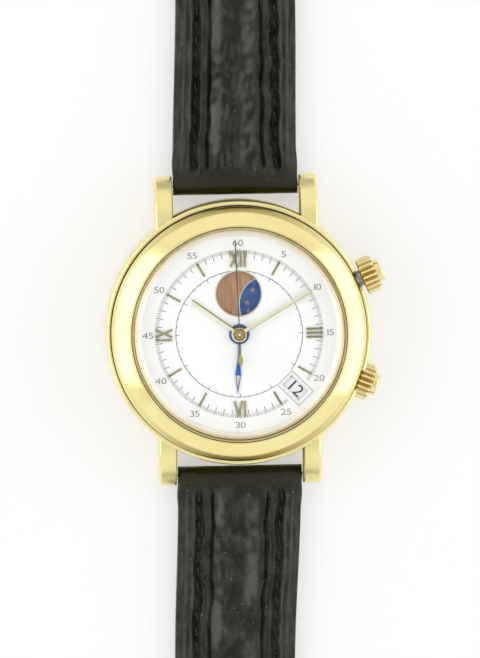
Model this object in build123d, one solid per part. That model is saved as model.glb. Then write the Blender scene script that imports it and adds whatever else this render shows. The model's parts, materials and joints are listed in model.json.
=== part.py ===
from build123d import *
from math import cos, pi, radians, sin, sqrt
import os

# A wristwatch with moon phase, date and alarm, lying dial up with its strap open.
# Millimetres. Z is the axis of the hands and points out of the dial, Y points to 12 o'clock,
# X to 3 o'clock, and the origin is the centre of the case back's flat outer face.

# Clearances
running_gap = 0.05
turning_gap = 0.02
screw_gap = 0.03
wheel_gap = 0.06
leather_gap = 0.15
cut_overrun = 2.0

# Case back
back_thickness = 1.0
back_step = 1.6
back_round = 0.4
spigot_height = 0.7
spigot_width = 0.7
gasket_groove_depth = 0.45
gasket_groove_height = 0.3
gasket_groove_lift = 0.2
back_screw_count = 6
back_screw_head_radius = 0.6
back_screw_head_height = 0.45
back_screw_radius = 0.3
back_screw_length = 2.6

# Rotor and bridges
rotor_edge_gap = 1.8
rotor_floor_gap = 0.3
rotor_thickness = 0.5
rotor_weight_width = 3.0
rotor_weight_height = 1.05
rotor_hub_radius = 2.2
rotor_post_radius = 1.2
rotor_post_head = 0.35
rotor_window_inner = 4.2
rotor_window_margin = 1.0
rotor_roof_gap = 0.2
bridge_margin = 0.35
bridge_thickness = 0.7
bridge_line = 1.5
bridge_gap = 0.2
bridge_recess = 0.5
cock_width = 3.4
bridge_screw_inset = 0.8
bridge_screw_radius = 0.3
bridge_screw_head_radius = 0.6
bridge_screw_head_height = 0.3
bridge_screw_grip = 0.6
pillar_radius = 0.7
barrel_bridge_angles = (30, 90, 160)
train_bridge_angles = (-5, 275, 185)
cock_screw_angle = 215

# Going train: wheel sizes and places are shares of the main plate's radius, and the lifts above the
# bridges are shares of the train's height
train_height = 1.3
arbor_radius = 0.2
pivot_radius = 0.1
pivot_depth = 0.25
jewel_radius = 0.45
jewel_thickness = 0.3
tooth_depth_share = 0.55
tooth_root_share = 0.4
tooth_rise_share = 0.55
tooth_tip_share = 0.85
wheel_window_count = 5
wheel_window_share = 0.36
centre_wheel_radius_share = 0.25
centre_wheel_teeth = 64
centre_wheel_lift_share = 0.73
centre_wheel_thickness = 0.15
centre_pinion_radius = 0.8
centre_pinion_teeth = 12
centre_pinion_lift_share = 0.41
centre_pinion_height = 0.2
centre_arbor_radius = 0.38
third_wheel_radius_share = 0.257
third_wheel_teeth = 60
third_wheel_lift_share = 0.21
third_wheel_thickness = 0.16
third_pinion_radius = 0.6
third_pinion_teeth = 8
third_pinion_height = 0.35
third_wheel_angle = -55
fourth_wheel_radius_share = 0.243
fourth_wheel_teeth = 72
fourth_wheel_lift_share = 0.077
fourth_wheel_thickness = 0.1
fourth_pinion_radius = 0.45
fourth_pinion_teeth = 8
fourth_pinion_height = 0.22
seconds_arbor_radius = 0.15
escape_wheel_radius_share = 0.104
escape_wheel_teeth = 15
escape_wheel_lift_share = 0.5
escape_wheel_thickness = 0.12
escape_pinion_radius = 0.4
escape_pinion_teeth = 6
escape_pinion_height = 0.15
escape_line_angle = 215
fork_stand = 0.7
balance_stand = 0.15
fork_thickness = 0.15
fork_width = 0.4
fork_arm_inset = 0.05
fork_arm_offset = 0.35
fork_stone_length = 0.7
fork_horn_gap = 0.75
balance_radius_share = 0.188
balance_rim_width = 0.3
balance_lift_share = 0.27
balance_thickness = 0.25
balance_arm_width = 0.4
roller_radius = 0.55
roller_thickness = 0.1
impulse_pin_radius = 0.08
hairspring_turns = 6
hairspring_inner_radius = 0.45
hairspring_pitch = 0.25
hairspring_ribbon_width = 0.07
hairspring_height = 0.12
hairspring_lift_share = 0.1
stud_radius = 0.2
barrel_radius_share = 0.313
barrel_rim_width = 0.4
barrel_teeth = 72
barrel_lift_share = 0.23
barrel_height = 0.5
barrel_teeth_height = 0.17
barrel_arbor_radius = 0.6
barrel_angle = 125
alarm_barrel_radius_share = 0.25
alarm_barrel_height = 0.9
alarm_barrel_lift_share = 0.154
alarm_barrel_distance_share = 0.613
alarm_barrel_angle = 50
hammer_distance_share = 0.669
hammer_angle = -35
hammer_length_share = 0.383
hammer_lean_angle = 25
hammer_width = 0.9
hammer_head_radius_share = 0.0627
hammer_lift_share = 0.19
hammer_thickness = 0.8
hammer_hub_radius = 0.8

# Main plate and holding ring
movement_ring_width = 1.6
plate_thickness = 1.8
ring_gap = 0.05

# Motion work under the dial
cannon_teeth_radius = 0.75
cannon_teeth = 10
cannon_lift = 0.07
cannon_teeth_height = 0.16
cannon_wall = 0.18
minute_wheel_radius = 2.25
minute_wheel_teeth = 30
minute_wheel_thickness = 0.14
minute_pinion_radius = 0.6
minute_pinion_teeth = 8
minute_pinion_height = 0.26
minute_wheel_angle = 0
hour_wheel_radius = 2.4
hour_wheel_teeth = 32
hour_wheel_thickness = 0.16
hour_pipe_wall = 0.2
alarm_wheel_radius = 2.9
alarm_wheel_teeth = 48
alarm_wheel_thickness = 0.15
alarm_pipe_wall = 0.2
motion_work_height = 0.9

# Calendar plate, date ring and moon disc
calendar_thickness = 0.5
calendar_foot_width = 0.75
calendar_rim_width = 0.45
calendar_pipe_wall = 0.6
disc_gap = 0.2
disc_thickness = 0.25
moon_disc_margin = 0.25
date_ring_gap = 0.25
date_notch_count = 31
date_notch_radius = 0.25

# Dial: its layout is in shares of the radius that shows inside the sloped ring
dial_gap = 0.3
dial_thickness = 0.4
dial_edge_gap = 0.15
moon_window_radius_share = 0.2286
moon_window_distance_share = 0.4143
moon_rim_width = 0.16
moon_rim_height = 0.08
date_angle = -45
date_distance_share = 0.8
date_window_length_share = 0.307
date_window_width_share = 0.211
date_bevel = 0.5
marker_height = 0.25
marker_width = 0.3
baton_inner_share = 0.6886
baton_outer_share = 0.84
numeral_inner_share = 0.686
numeral_outer_share = 0.85
numeral_bar = 0.28
numeral_pitch = 0.58
numeral_cross_spread = 1.05

# Hands: their lengths are shares of the same radius
hand_gap = 0.13
hand_thickness = 0.15
hand_base_share = 0.35
thin_hand_thickness = 0.1
hand_width = 0.55
hour_hand_length_share = 0.6
hour_hand_angle = 306
hour_hub_radius = 1.14
minute_hand_length_share = 0.843
minute_hand_angle = 59.4
minute_hub_radius = 0.95
seconds_hand_length_share = 0.964
seconds_hand_tail_share = 0.3286
seconds_hand_width = 0.16
seconds_hand_angle = -1.7
seconds_hub_radius = 0.5
pear_length_share = 0.1214
pear_width = 0.65
pear_start_share = 0.207
pear_belly_share = 0.62
alarm_hand_length_share = 0.6214
alarm_hand_angle = 182.4
alarm_hub_radius = 1.45
alarm_stem_width = 0.3
alarm_blade_start_share = 0.264
alarm_blade_middle_share = 0.411
alarm_blade_width = 0.85
alarm_blade_stroke = 0.15

# Case middle
case_radius = 19.0
case_wall = 3.0
case_lower_round = 0.9
case_upper_round = 0.45
dial_seat_depth = 0.6

# Bezel, crystal and inner ring
bezel_step = 0.75
bezel_width = 2.85
bezel_wall_height = 1.15
bezel_shoulder = 0.7
bezel_shoulder_height = 0.85
bezel_bend_in_share = 0.29
bezel_bend_up_share = 0.64
bezel_lip = 0.25
bezel_lip_drop = 0.12
bezel_bulge = 0.12
rehaut_height = 1.35
rehaut_foot_width = 1.4
rehaut_top_width = 0.6
crystal_grip = 0.7
crystal_edge = 0.9
crystal_bevel = 0.3
crystal_bevel_drop = 0.18
crystal_dome = 0.25
crystal_gasket_width = 0.3

# Lugs and spring bars
lug_gap = 18.2
lug_width = 2.6
lug_overlap = 0.97
lug_reach = 3.3
lug_bottom = 0.9
lug_top_drop = 0.6
lug_foot_shares = (0, 0.1)
lug_heel_shares = (0.84, 0)
lug_nose_shares = (1, 0.24)
lug_brow_shares = (0.9, 0.6)
lug_crest_shares = (0.62, 0.87)
lug_neck_shares = (0.2, 1)
lug_root_shares = (0, 1)
lug_round = 0.45
lug_inner_round = 0.3
bar_gap = 2.1
bar_height = 3.2
bar_radius = 0.9
bar_shoulder_gap = 0.3
bar_wall = 0.25
bar_tip_radius = 0.4
bar_tip_reach = 1.0
bar_tip_inside = 3.0
bar_tip_travel = 0.9
bar_hole_depth = 1.2

# Crowns
crown_angles = (22.5, -22.5)
crown_radius = 2.65
crown_length = 2.2
crown_inset = 0.6
crown_edge_round = 0.25
crown_boss_radius = 1.6
crown_boss_height = 0.85
crown_boss_round = 0.3
crown_flute_count = 18
crown_flute_radius = 0.36
crown_flute_offset = 0.08
crown_recess_radius = 1.3
crown_recess_depth = 1.5
crown_axis_lift = 0.75
alarm_crown_pull = 0.95
pocket_radius = 3.0
pocket_depth = 0.9
tube_radius = 1.2
tube_stand = 0.3
tube_inset = 0.2
stem_radius = 0.5
stem_shoulder_gap = 0.15
stem_tail_length = 0.6
stem_square = 0.6
square_gap = 0.04
slider_inset = 3.15
slider_length = 2.0
slider_radius = 0.72
slider_teeth = 12
slot_gap = 0.12
slot_tail_gap = 0.3

# Strap
strap_buckle_width = 16.0
strap_tail_width = 16.0
strap_end_radius = 1.5
buckle_side_length = 75.0
tail_side_length = 115.0
strap_settle = 5.0
strap_drop_share = 0.4
strap_drop_height_share = 0.45
pad_thickness = 3.8
pad_edge = 2.2
thin_thickness = 2.6
thin_edge = 2.0
panel_share = 0.455
groove_depth = 0.45
thin_groove_depth = 0.2
flank_bulge = 0.12
pad_length = 10.0
buckle_arch_length = 42.0
buckle_arch_slope = 6.0
buckle_arch_end_gap = 5.0
tail_pad_end = 70.0
tail_tip_length = 12.0
tail_tip_steps = 6
tail_tip_blunt_share = 0.22
tail_hole_count = 7
tail_hole_pitch = 6.5
tail_hole_first = 28.0
tail_hole_radius = 0.9
tongue_slot_width = 2.6
tongue_slot_length = 2.8

# Keepers
keeper_thickness = 1.0
keeper_headroom = 2.3
keeper_round = 0.9
fixed_keeper_back = 9.8
fixed_keeper_width = 4.5
free_keeper_back = 21.5
free_keeper_width = 5.0
free_keeper_travel_in = 10.0

# Buckle
pin_radius = 0.6
pin_gap = 0.1
frame_arm_width = 1.9
frame_arm_gap = 0.3
frame_reach = 9.3
frame_bar_radius = 1.1
frame_boss_radius = 1.5
frame_corner = 3.0
pin_inset = 0.3
tongue_width = 1.8
tongue_thickness = 0.8
tongue_ring = 1.25
tongue_overhang = 1.2

# Heights worked out from the bottom up
case_bottom = back_thickness
rotor_bottom = case_bottom + rotor_floor_gap
bridge_bottom = rotor_bottom + rotor_weight_height + rotor_roof_gap
train_floor = bridge_bottom + bridge_thickness
plate_bottom = train_floor + train_height
plate_top = plate_bottom + plate_thickness
crown_axis = plate_bottom + crown_axis_lift
calendar_bottom = plate_top + motion_work_height
calendar_top = calendar_bottom + calendar_thickness
disc_bottom = calendar_top + disc_gap
disc_top = disc_bottom + disc_thickness
dial_bottom = disc_top + dial_gap
dial_top = dial_bottom + dial_thickness
case_top = dial_bottom - dial_seat_depth
crystal_bottom = dial_top + rehaut_height
bezel_top = crystal_bottom + crystal_grip
alarm_hand_bottom = dial_top + hand_gap
hour_hand_bottom = alarm_hand_bottom + thin_hand_thickness + hand_gap
minute_hand_bottom = hour_hand_bottom + hand_thickness + hand_gap
seconds_hand_bottom = minute_hand_bottom + hand_thickness + hand_gap

# Radii worked out from the case inwards
case_bore = case_radius - case_wall
bezel_radius = case_radius - bezel_step
bezel_inner = bezel_radius - bezel_width
crystal_radius = bezel_inner - crystal_gasket_width
dial_radius = bezel_inner - dial_edge_gap
dial_opening = bezel_inner - rehaut_foot_width
back_radius = case_radius - back_step
back_screw_distance = (case_bore + back_radius) / 2
rotor_radius = case_bore - rotor_edge_gap
plate_radius = case_bore - ring_gap - movement_ring_width
bridge_radius = plate_radius - bridge_margin
bridge_screw_distance = bridge_radius - bridge_screw_inset

# Case, lugs and crowns
lug_face = lug_gap / 2
lug_tip = case_radius + lug_reach
lug_root = sqrt(case_radius**2 - (lug_face + lug_width) ** 2) - lug_overlap
bar_distance = case_radius + bar_gap
crown_seat = case_radius - crown_inset
pocket_face = case_radius - pocket_depth
tube_end = case_radius + tube_stand
tube_start = case_bore + tube_inset
slider_start = plate_radius - slider_inset
stem_end = slider_start - stem_tail_length
stem_shoulder = slider_start + slider_length + stem_shoulder_gap
slot_end = stem_end - slot_tail_gap

# Train sizes and lifts
centre_wheel_radius = centre_wheel_radius_share * plate_radius
third_wheel_radius = third_wheel_radius_share * plate_radius
fourth_wheel_radius = fourth_wheel_radius_share * plate_radius
escape_wheel_radius = escape_wheel_radius_share * plate_radius
balance_radius = balance_radius_share * plate_radius
barrel_radius = barrel_radius_share * plate_radius
barrel_tip_radius = barrel_radius + barrel_rim_width
alarm_barrel_radius = alarm_barrel_radius_share * plate_radius
alarm_barrel_distance = alarm_barrel_distance_share * plate_radius
hammer_distance = hammer_distance_share * plate_radius
hammer_length = hammer_length_share * plate_radius
hammer_head_radius = hammer_head_radius_share * plate_radius
fork_arm_half = escape_wheel_radius - fork_arm_inset
centre_wheel_lift = centre_wheel_lift_share * train_height
centre_pinion_lift = centre_pinion_lift_share * train_height
third_wheel_lift = third_wheel_lift_share * train_height
fourth_wheel_lift = fourth_wheel_lift_share * train_height
escape_wheel_lift = escape_wheel_lift_share * train_height
balance_lift = balance_lift_share * train_height
hairspring_lift = hairspring_lift_share * train_height
barrel_lift = barrel_lift_share * train_height
alarm_barrel_lift = alarm_barrel_lift_share * train_height
hammer_lift = hammer_lift_share * train_height

# Pipes under the hands and places of the wheels
centre_bore = seconds_arbor_radius + running_gap
cannon_bore = centre_arbor_radius + turning_gap
cannon_radius = cannon_bore + cannon_wall
hour_pipe_bore = cannon_radius + running_gap
hour_pipe_radius = hour_pipe_bore + hour_pipe_wall
alarm_pipe_bore = hour_pipe_radius + running_gap
alarm_pipe_radius = alarm_pipe_bore + alarm_pipe_wall
calendar_bore = alarm_pipe_radius + running_gap
calendar_pipe_radius = calendar_bore + calendar_pipe_wall
barrel_distance = barrel_tip_radius + centre_pinion_radius + wheel_gap
third_distance = centre_wheel_radius + third_pinion_radius + wheel_gap
escape_distance = fourth_wheel_radius + escape_pinion_radius + wheel_gap
fork_distance = escape_distance + escape_wheel_radius + fork_stand
fork_to_balance = balance_radius + arbor_radius + balance_stand
balance_distance = fork_distance + fork_to_balance
minute_wheel_distance = minute_wheel_radius + cannon_teeth_radius + wheel_gap

# Dial layout, discs under it and hand lengths
moon_window_radius = moon_window_radius_share * dial_opening
moon_window_distance = moon_window_distance_share * dial_opening
date_distance = date_distance_share * dial_opening
date_window_length = date_window_length_share * dial_opening
date_window_width = date_window_width_share * dial_opening
baton_inner = baton_inner_share * dial_opening
baton_outer = baton_outer_share * dial_opening
numeral_inner = numeral_inner_share * dial_opening
numeral_outer = numeral_outer_share * dial_opening
moon_disc_radius = moon_window_distance + moon_window_radius + moon_disc_margin
date_ring_inner_radius = moon_disc_radius + date_ring_gap
date_ring_outer_radius = plate_radius
hour_hand_length = hour_hand_length_share * dial_opening
minute_hand_length = minute_hand_length_share * dial_opening
seconds_hand_length = seconds_hand_length_share * dial_opening
seconds_hand_tail = seconds_hand_tail_share * dial_opening
pear_length = pear_length_share * dial_opening
pear_start = pear_start_share * dial_opening
alarm_hand_length = alarm_hand_length_share * dial_opening
alarm_blade_start = alarm_blade_start_share * dial_opening
alarm_blade_middle = alarm_blade_middle_share * dial_opening

# Strap and buckle
strap_width = lug_gap - leather_gap * 2
buckle_distance = bar_distance + buckle_side_length
buckle_arch_start = buckle_side_length - buckle_arch_length
buckle_arch_end = buckle_side_length - buckle_arch_end_gap
fixed_keeper_place = buckle_side_length - fixed_keeper_back
free_keeper_place = buckle_side_length - free_keeper_back


def polar(distance, angle):
    """A place at a distance from the hand axis, the angle in degrees from 3 o'clock."""
    return Pos(distance * cos(radians(angle)), distance * sin(radians(angle)), 0)


def post(radius, bottom, top):
    """A round post about the hand axis from one height to another."""
    return Pos(0, 0, bottom) * Cylinder(radius, top - bottom, align=(Align.CENTER, Align.CENTER, Align.MIN))


def ring(outer, inner, bottom, top):
    """A flat ring about the hand axis."""
    hole = post(inner, bottom - cut_overrun, top + cut_overrun)
    return post(outer, bottom, top) - hole


def turned(edges):
    """The solid turned about the hand axis by a closed outline of (radius, height) edges."""
    return revolve(Plane.XZ * make_face(edges), Axis.Z)


def toothed(tip_radius, teeth, bottom, top):
    """A toothed disc: each tooth is a trapezoid on a root circle, its depth a share of the pitch."""
    pitch = 360 / teeth
    root_radius = tip_radius - tooth_depth_share * radians(pitch) * tip_radius
    corners = (
        (root_radius, 0),
        (root_radius, tooth_root_share),
        (tip_radius, tooth_rise_share),
        (tip_radius, tooth_tip_share),
    )
    points = [
        (radius * cos(radians((tooth + share) * pitch)), radius * sin(radians((tooth + share) * pitch)))
        for tooth in range(teeth)
        for radius, share in corners
    ]
    return Pos(0, 0, bottom) * extrude(make_face(Polyline(points, close=True)), top - bottom)


def crossings(hub_radius, rim_radius, bottom, top):
    """The round windows that leave spokes between a wheel's hub and its rim."""
    window_radius = (rim_radius - hub_radius) * wheel_window_share
    middle = (rim_radius + hub_radius) / 2
    window = post(window_radius, bottom - cut_overrun, top + cut_overrun)
    return Part() + [polar(middle, 360 / wheel_window_count * i) * window for i in range(wheel_window_count)]


def arbor(low, high):
    """A wheel's arbor with a thin pivot at each end that runs in a jewel."""
    shaft = post(arbor_radius, low + turning_gap, high - turning_gap)
    return shaft + post(pivot_radius, low - pivot_depth, high + pivot_depth)


def crown_plane(angle):
    """The plane square to a stem, its normal pointing out along the stem."""
    outward = (cos(radians(angle)), sin(radians(angle)), 0)
    return Plane(origin=(0, 0, crown_axis), x_dir=(0, 0, 1), z_dir=outward)


def along_stem(angle, start, end, radius):
    """A round bar on a stem's axis between two distances from the hand axis."""
    bar = Cylinder(radius, end - start, align=(Align.CENTER, Align.CENTER, Align.MIN))
    return crown_plane(angle) * (Pos(0, 0, start) * bar)


def across(radius, x_from, x_to, y, z):
    """A round bar along X."""
    bar = Cylinder(radius, x_to - x_from, align=(Align.CENTER, Align.CENTER, Align.MIN))
    return Pos(x_from, y, z) * (Rot(0, 90, 0) * bar)


def lug():
    """The lug at positive x and y: a side outline in shares of its length and height, pushed across."""
    length = lug_tip - lug_root
    height = case_top - lug_top_drop - lug_bottom

    def corner(shares):
        return (lug_root + shares[0] * length, lug_bottom + shares[1] * height)

    foot = corner(lug_foot_shares)
    heel = corner(lug_heel_shares)
    nose = corner(lug_nose_shares)
    brow = corner(lug_brow_shares)
    crest = corner(lug_crest_shares)
    neck = corner(lug_neck_shares)
    root = corner(lug_root_shares)
    outline = [
        Line(foot, heel),
        ThreePointArc(heel, nose, brow),
        ThreePointArc(brow, crest, neck),
        Line(neck, root),
        Line(root, foot),
    ]
    side = Plane(origin=(lug_face, 0, 0), x_dir=(0, 1, 0), z_dir=(1, 0, 0)) * make_face(outline)
    block = extrude(side, lug_width)

    def upper_edges(face):
        """The edges of a side face that run over the lug's top and nose."""
        return [edge for edge in face.edges() if edge.center().Z > heel[1] and edge.center().Y > lug_root]

    block = fillet(upper_edges(block.faces().sort_by(Axis.X)[-1]), lug_round)
    return fillet(upper_edges(block.faces().sort_by(Axis.X)[0]), lug_inner_round)


def case_middle():
    """The case ring with its four lugs, crown pockets, tube holes, spring bar holes and screw holes."""
    lower = (case_radius - case_lower_round, case_bottom + case_lower_round)
    upper = (case_radius - case_upper_round, case_top - case_upper_round)
    body = turned([
        Line((case_bore, case_bottom), (lower[0], case_bottom)),
        CenterArc(lower, case_lower_round, -90, 90),
        Line((case_radius, lower[1]), (case_radius, upper[1])),
        CenterArc(upper, case_upper_round, 0, 90),
        Line((upper[0], case_top), (case_bore, case_top)),
        Line((case_bore, case_top), (case_bore, case_bottom)),
    ])
    corner = lug()
    for turn in (corner, mirror(corner, Plane.YZ)):
        body += [turn, mirror(turn, Plane.XZ)]
    body -= post(case_bore, 0, case_top + cut_overrun)
    for angle in crown_angles:
        body -= along_stem(angle, pocket_face, case_radius + cut_overrun, pocket_radius)
        body -= along_stem(angle, plate_radius, case_radius, tube_radius)
    hole_end = lug_face + bar_hole_depth
    for side in (1, -1):
        place = side * bar_distance
        body -= across(bar_tip_radius + running_gap, -hole_end, hole_end, place, bar_height)
    shank = post(back_screw_radius + screw_gap, 0, back_screw_length + screw_gap)
    for i in range(back_screw_count):
        body -= polar(back_screw_distance, back_screw_angle(i)) * shank
    return body


def back_screw_angle(index):
    """Angle of a case back screw, the first half a step off 3 o'clock."""
    step = 360 / back_screw_count
    return step * (index + 0.5)


def case_back():
    """The case back: a flat disc with a spigot in the case bore, a gasket groove and screw holes."""
    rounding = (back_radius - back_round, back_round)
    body = turned([
        Line((0, 0), (rounding[0], 0)),
        CenterArc(rounding, back_round, -90, 90),
        Line((back_radius, back_round), (back_radius, back_thickness)),
        Line((back_radius, back_thickness), (0, back_thickness)),
        Line((0, back_thickness), (0, 0)),
    ])
    spigot = case_bore - running_gap
    body += ring(spigot, spigot - spigot_width, back_thickness, back_thickness + spigot_height)
    groove_bottom = back_thickness + gasket_groove_lift
    groove_inner = case_bore - gasket_groove_depth
    body -= ring(case_bore, groove_inner, groove_bottom, groove_bottom + gasket_groove_height)
    head = post(back_screw_head_radius + screw_gap, 0, back_screw_head_height)
    shank = post(back_screw_radius + screw_gap, 0, back_thickness)
    for i in range(back_screw_count):
        body -= polar(back_screw_distance, back_screw_angle(i)) * (head + shank)
    return body


def case_back_gasket():
    """The ring of rubber that fills the case back's groove and meets the case bore."""
    bottom = back_thickness + gasket_groove_lift
    return ring(case_bore, case_bore - gasket_groove_depth, bottom, bottom + gasket_groove_height)


def case_back_screws():
    """The slotted screws that hold the case back, heads flush with its outer face."""
    slot_depth = back_screw_head_height / 3
    slot = Box(back_screw_head_radius * 2, back_screw_head_radius / 4, slot_depth * 2)
    screw = post(back_screw_head_radius, 0, back_screw_head_height) - slot
    screw += post(back_screw_radius, slot_depth, back_screw_length)
    places = [polar(back_screw_distance, back_screw_angle(i)) for i in range(back_screw_count)]
    return Part() + [place * screw for place in places]


def bezel():
    """The bezel: upright wall, rounded shoulder, a long gently crowned slope and a small inner lip."""
    wall_top = case_top + bezel_wall_height
    shoulder = (bezel_radius - bezel_shoulder, wall_top + bezel_shoulder_height)
    bend = (
        bezel_radius - bezel_shoulder * bezel_bend_in_share,
        wall_top + bezel_shoulder_height * bezel_bend_up_share,
    )
    lip = (bezel_inner + bezel_lip, bezel_top)
    crown = ((shoulder[0] + lip[0]) / 2, (shoulder[1] + lip[1]) / 2 + bezel_bulge)
    inner = (bezel_inner, bezel_top - bezel_lip_drop)
    return turned([
        Line((bezel_inner, case_top), (bezel_radius, case_top)),
        Line((bezel_radius, case_top), (bezel_radius, wall_top)),
        ThreePointArc((bezel_radius, wall_top), bend, shoulder),
        ThreePointArc(shoulder, crown, lip),
        Line(lip, inner),
        Line(inner, (bezel_inner, case_top)),
    ])


def crystal():
    """The crystal: flat below, a bevel round its upper edge and a slight dome on top."""
    edge_top = crystal_bottom + crystal_edge
    bevel_top = (crystal_radius - crystal_bevel, edge_top + crystal_bevel_drop)
    peak = (0, bevel_top[1] + crystal_dome)
    curve = RadiusArc(bevel_top, peak, dome_radius(bevel_top[0], crystal_dome))
    return turned([
        Line((0, crystal_bottom), (crystal_radius, crystal_bottom)),
        Line((crystal_radius, crystal_bottom), (crystal_radius, edge_top)),
        Line((crystal_radius, edge_top), bevel_top),
        curve,
        Line(peak, (0, crystal_bottom)),
    ])


def dome_radius(half_chord, rise):
    """Radius of the sphere whose cap has this half chord and rise; negative bends it outwards."""
    return -(half_chord**2 + rise**2) / (2 * rise)


def crystal_gasket():
    """The thin ring between the crystal and the bezel."""
    return ring(bezel_inner, crystal_radius, crystal_bottom, bezel_top - bezel_lip_drop)


def rehaut_ring():
    """The sloped ring between the dial's edge and the crystal."""
    outer = bezel_inner - running_gap
    return turned([
        Polyline(
            (bezel_inner - rehaut_foot_width, dial_top),
            (outer, dial_top),
            (outer, crystal_bottom),
            (bezel_inner - rehaut_top_width, crystal_bottom),
            close=True,
        )
    ])


def spring_bars():
    """The two spring bar barrels, each a tube open at both ends between the lugs."""
    end = lug_face - bar_shoulder_gap
    bars = Part()
    for side in (1, -1):
        place = side * bar_distance
        tube = across(bar_radius, -end, end, place, bar_height)
        bore = across(bar_tip_radius + running_gap, -end, end, place, bar_height)
        bars += tube - bore
    return bars


def bar_tip(side_x, side_y):
    """One sprung tip: it runs in the barrel and stands in the lug's hole."""
    inside = lug_face - bar_shoulder_gap - bar_tip_inside
    outside = lug_face + bar_tip_reach
    place = side_y * bar_distance
    tip = across(bar_tip_radius, inside, outside, place, bar_height)
    return tip if side_x > 0 else mirror(tip, Plane.YZ)


def crown_tubes():
    """The two steel tubes fixed in the case, on which the crowns slide."""
    tubes = Part()
    for angle in crown_angles:
        tube = along_stem(angle, tube_start, tube_end, tube_radius)
        tubes += tube - along_stem(angle, tube_start, tube_end, stem_radius + running_gap)
    return tubes


def crown(angle, pull):
    """A fluted crown with a small boss outside and a recess for the tube inside."""
    flute = Pos(crown_radius + crown_flute_offset, 0) * Circle(crown_flute_radius)
    step = 360 / crown_flute_count
    outline = Circle(crown_radius)
    outline -= [Rot(0, 0, step * i) * flute for i in range(crown_flute_count)]
    body = extrude(outline, crown_length)
    middle = crown_length - crown_edge_round
    envelope = Pos(0, 0, crown_length / 2) * Cylinder(crown_radius, crown_length)
    envelope = chamfer(envelope.edges().filter_by(GeomType.CIRCLE), crown_edge_round)
    body = body & envelope
    boss_top = crown_length + crown_boss_height
    boss = post(crown_boss_radius, middle, boss_top)
    boss = fillet(boss.edges().filter_by(GeomType.CIRCLE).sort_by(Axis.Z)[-1], crown_boss_round)
    body += boss
    body -= post(crown_recess_radius, -cut_overrun, crown_recess_depth)
    return crown_plane(angle) * (Pos(0, 0, crown_seat + pull) * body)


def stem(angle, pull):
    """A stem: round from the crown's recess to its shoulder, then square inside the sliding pinion."""
    top = crown_seat + crown_recess_depth + pull
    shoulder = stem_shoulder + pull
    shaft = along_stem(angle, shoulder, top, stem_radius)
    square_length = shoulder - stem_end - pull
    square = Box(stem_square, stem_square, square_length, align=(Align.CENTER, Align.CENTER, Align.MIN))
    return shaft + crown_plane(angle) * (Pos(0, 0, stem_end + pull) * square)


def sliding_pinion(angle):
    """The toothed sleeve that the stem's square end turns and slides through."""
    sleeve = toothed(slider_radius, slider_teeth, slider_start, slider_start + slider_length)
    opening = stem_square + square_gap * 2
    square = Box(opening, opening, (slider_start + slider_length) * 3)
    return crown_plane(angle) * (sleeve - square)


def jewel_places():
    """Where the wheels' pivots run: third wheel, escape wheel, fork and balance."""
    return [
        polar(third_distance, third_wheel_angle),
        polar(escape_distance, escape_line_angle),
        polar(fork_distance, escape_line_angle),
        polar(balance_distance, escape_line_angle),
    ]


def barrel_places():
    """Where the two spring barrels stand."""
    return [
        polar(barrel_distance, barrel_angle),
        polar(alarm_barrel_distance, alarm_barrel_angle),
    ]


def bridge_screw_angles():
    """Angles of all bridge screws on their circle."""
    return barrel_bridge_angles + train_bridge_angles + (cock_screw_angle,)


def main_plate():
    """The main plate with holes for the centre, barrels, jewels and screws, and slots for the stems."""
    body = post(plate_radius, plate_bottom, plate_top)
    body -= post(centre_arbor_radius + running_gap, plate_bottom - cut_overrun, plate_top + cut_overrun)
    jewel = post(jewel_radius, plate_bottom - cut_overrun, plate_bottom + jewel_thickness)
    for place in jewel_places():
        body -= place * jewel
    barrel_hole = post(barrel_arbor_radius + running_gap, plate_bottom, plate_bottom + jewel_thickness)
    for place in barrel_places():
        body -= place * barrel_hole
    grip_top = plate_bottom + bridge_screw_grip + screw_gap
    screw_hole = post(bridge_screw_radius + screw_gap, plate_bottom, grip_top)
    for angle in bridge_screw_angles():
        body -= polar(bridge_screw_distance, angle) * screw_hole
    hammer_hole = post(arbor_radius + running_gap, plate_bottom, plate_bottom + jewel_thickness)
    body -= polar(hammer_distance, hammer_angle) * hammer_hole
    slot_half = slider_radius + slot_gap
    slot_width = slot_half * 2
    slot_length = plate_radius + cut_overrun - slot_end
    slot_align = (Align.MIN, Align.CENTER, Align.MIN)
    slot_bottom = plate_bottom - cut_overrun
    slot_height = crown_axis + slot_half - slot_bottom
    slot = Box(slot_length, slot_width, slot_height, align=slot_align)
    for angle in crown_angles:
        body -= Rot(0, 0, angle) * (Pos(slot_end, 0, slot_bottom) * slot)
    return body


def movement_ring():
    """The ring that centres the movement in the case, cut away under the stems."""
    body = ring(case_bore - ring_gap, plate_radius, bridge_bottom, plate_top)
    for angle in crown_angles:
        body -= along_stem(angle, plate_radius - cut_overrun, case_bore, stem_radius + slot_gap)
    return body


def bridge_blank(angles):
    """A disc at bridge height with pillars up to the main plate, and holes for its screws."""
    blank = post(bridge_radius, bridge_bottom, train_floor)
    pillar = post(pillar_radius, train_floor, plate_bottom)
    pillars = [polar(bridge_screw_distance, angle) * pillar for angle in angles]
    head = post(bridge_screw_head_radius + screw_gap, 0, bridge_bottom + bridge_screw_head_height)
    shank = post(bridge_screw_radius + screw_gap, 0, plate_bottom + cut_overrun)
    holes = [polar(bridge_screw_distance, angle) * (head + shank) for angle in angles]
    return blank, pillars, holes


def bridge_bores():
    """The holes in the bridges for jewels, barrel arbors, the hammer and the centre."""
    low = train_floor - jewel_thickness
    high = train_floor + cut_overrun
    jewel = post(jewel_radius, low, high)
    barrel_hole = post(barrel_arbor_radius + running_gap, low, high)
    pivot = post(arbor_radius + running_gap, low, high)
    centre = post(pivot_radius + running_gap, low, high)
    bores = [place * jewel for place in jewel_places()]
    bores += [place * barrel_hole for place in barrel_places()]
    return bores + [polar(hammer_distance, hammer_angle) * pivot, centre]


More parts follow.
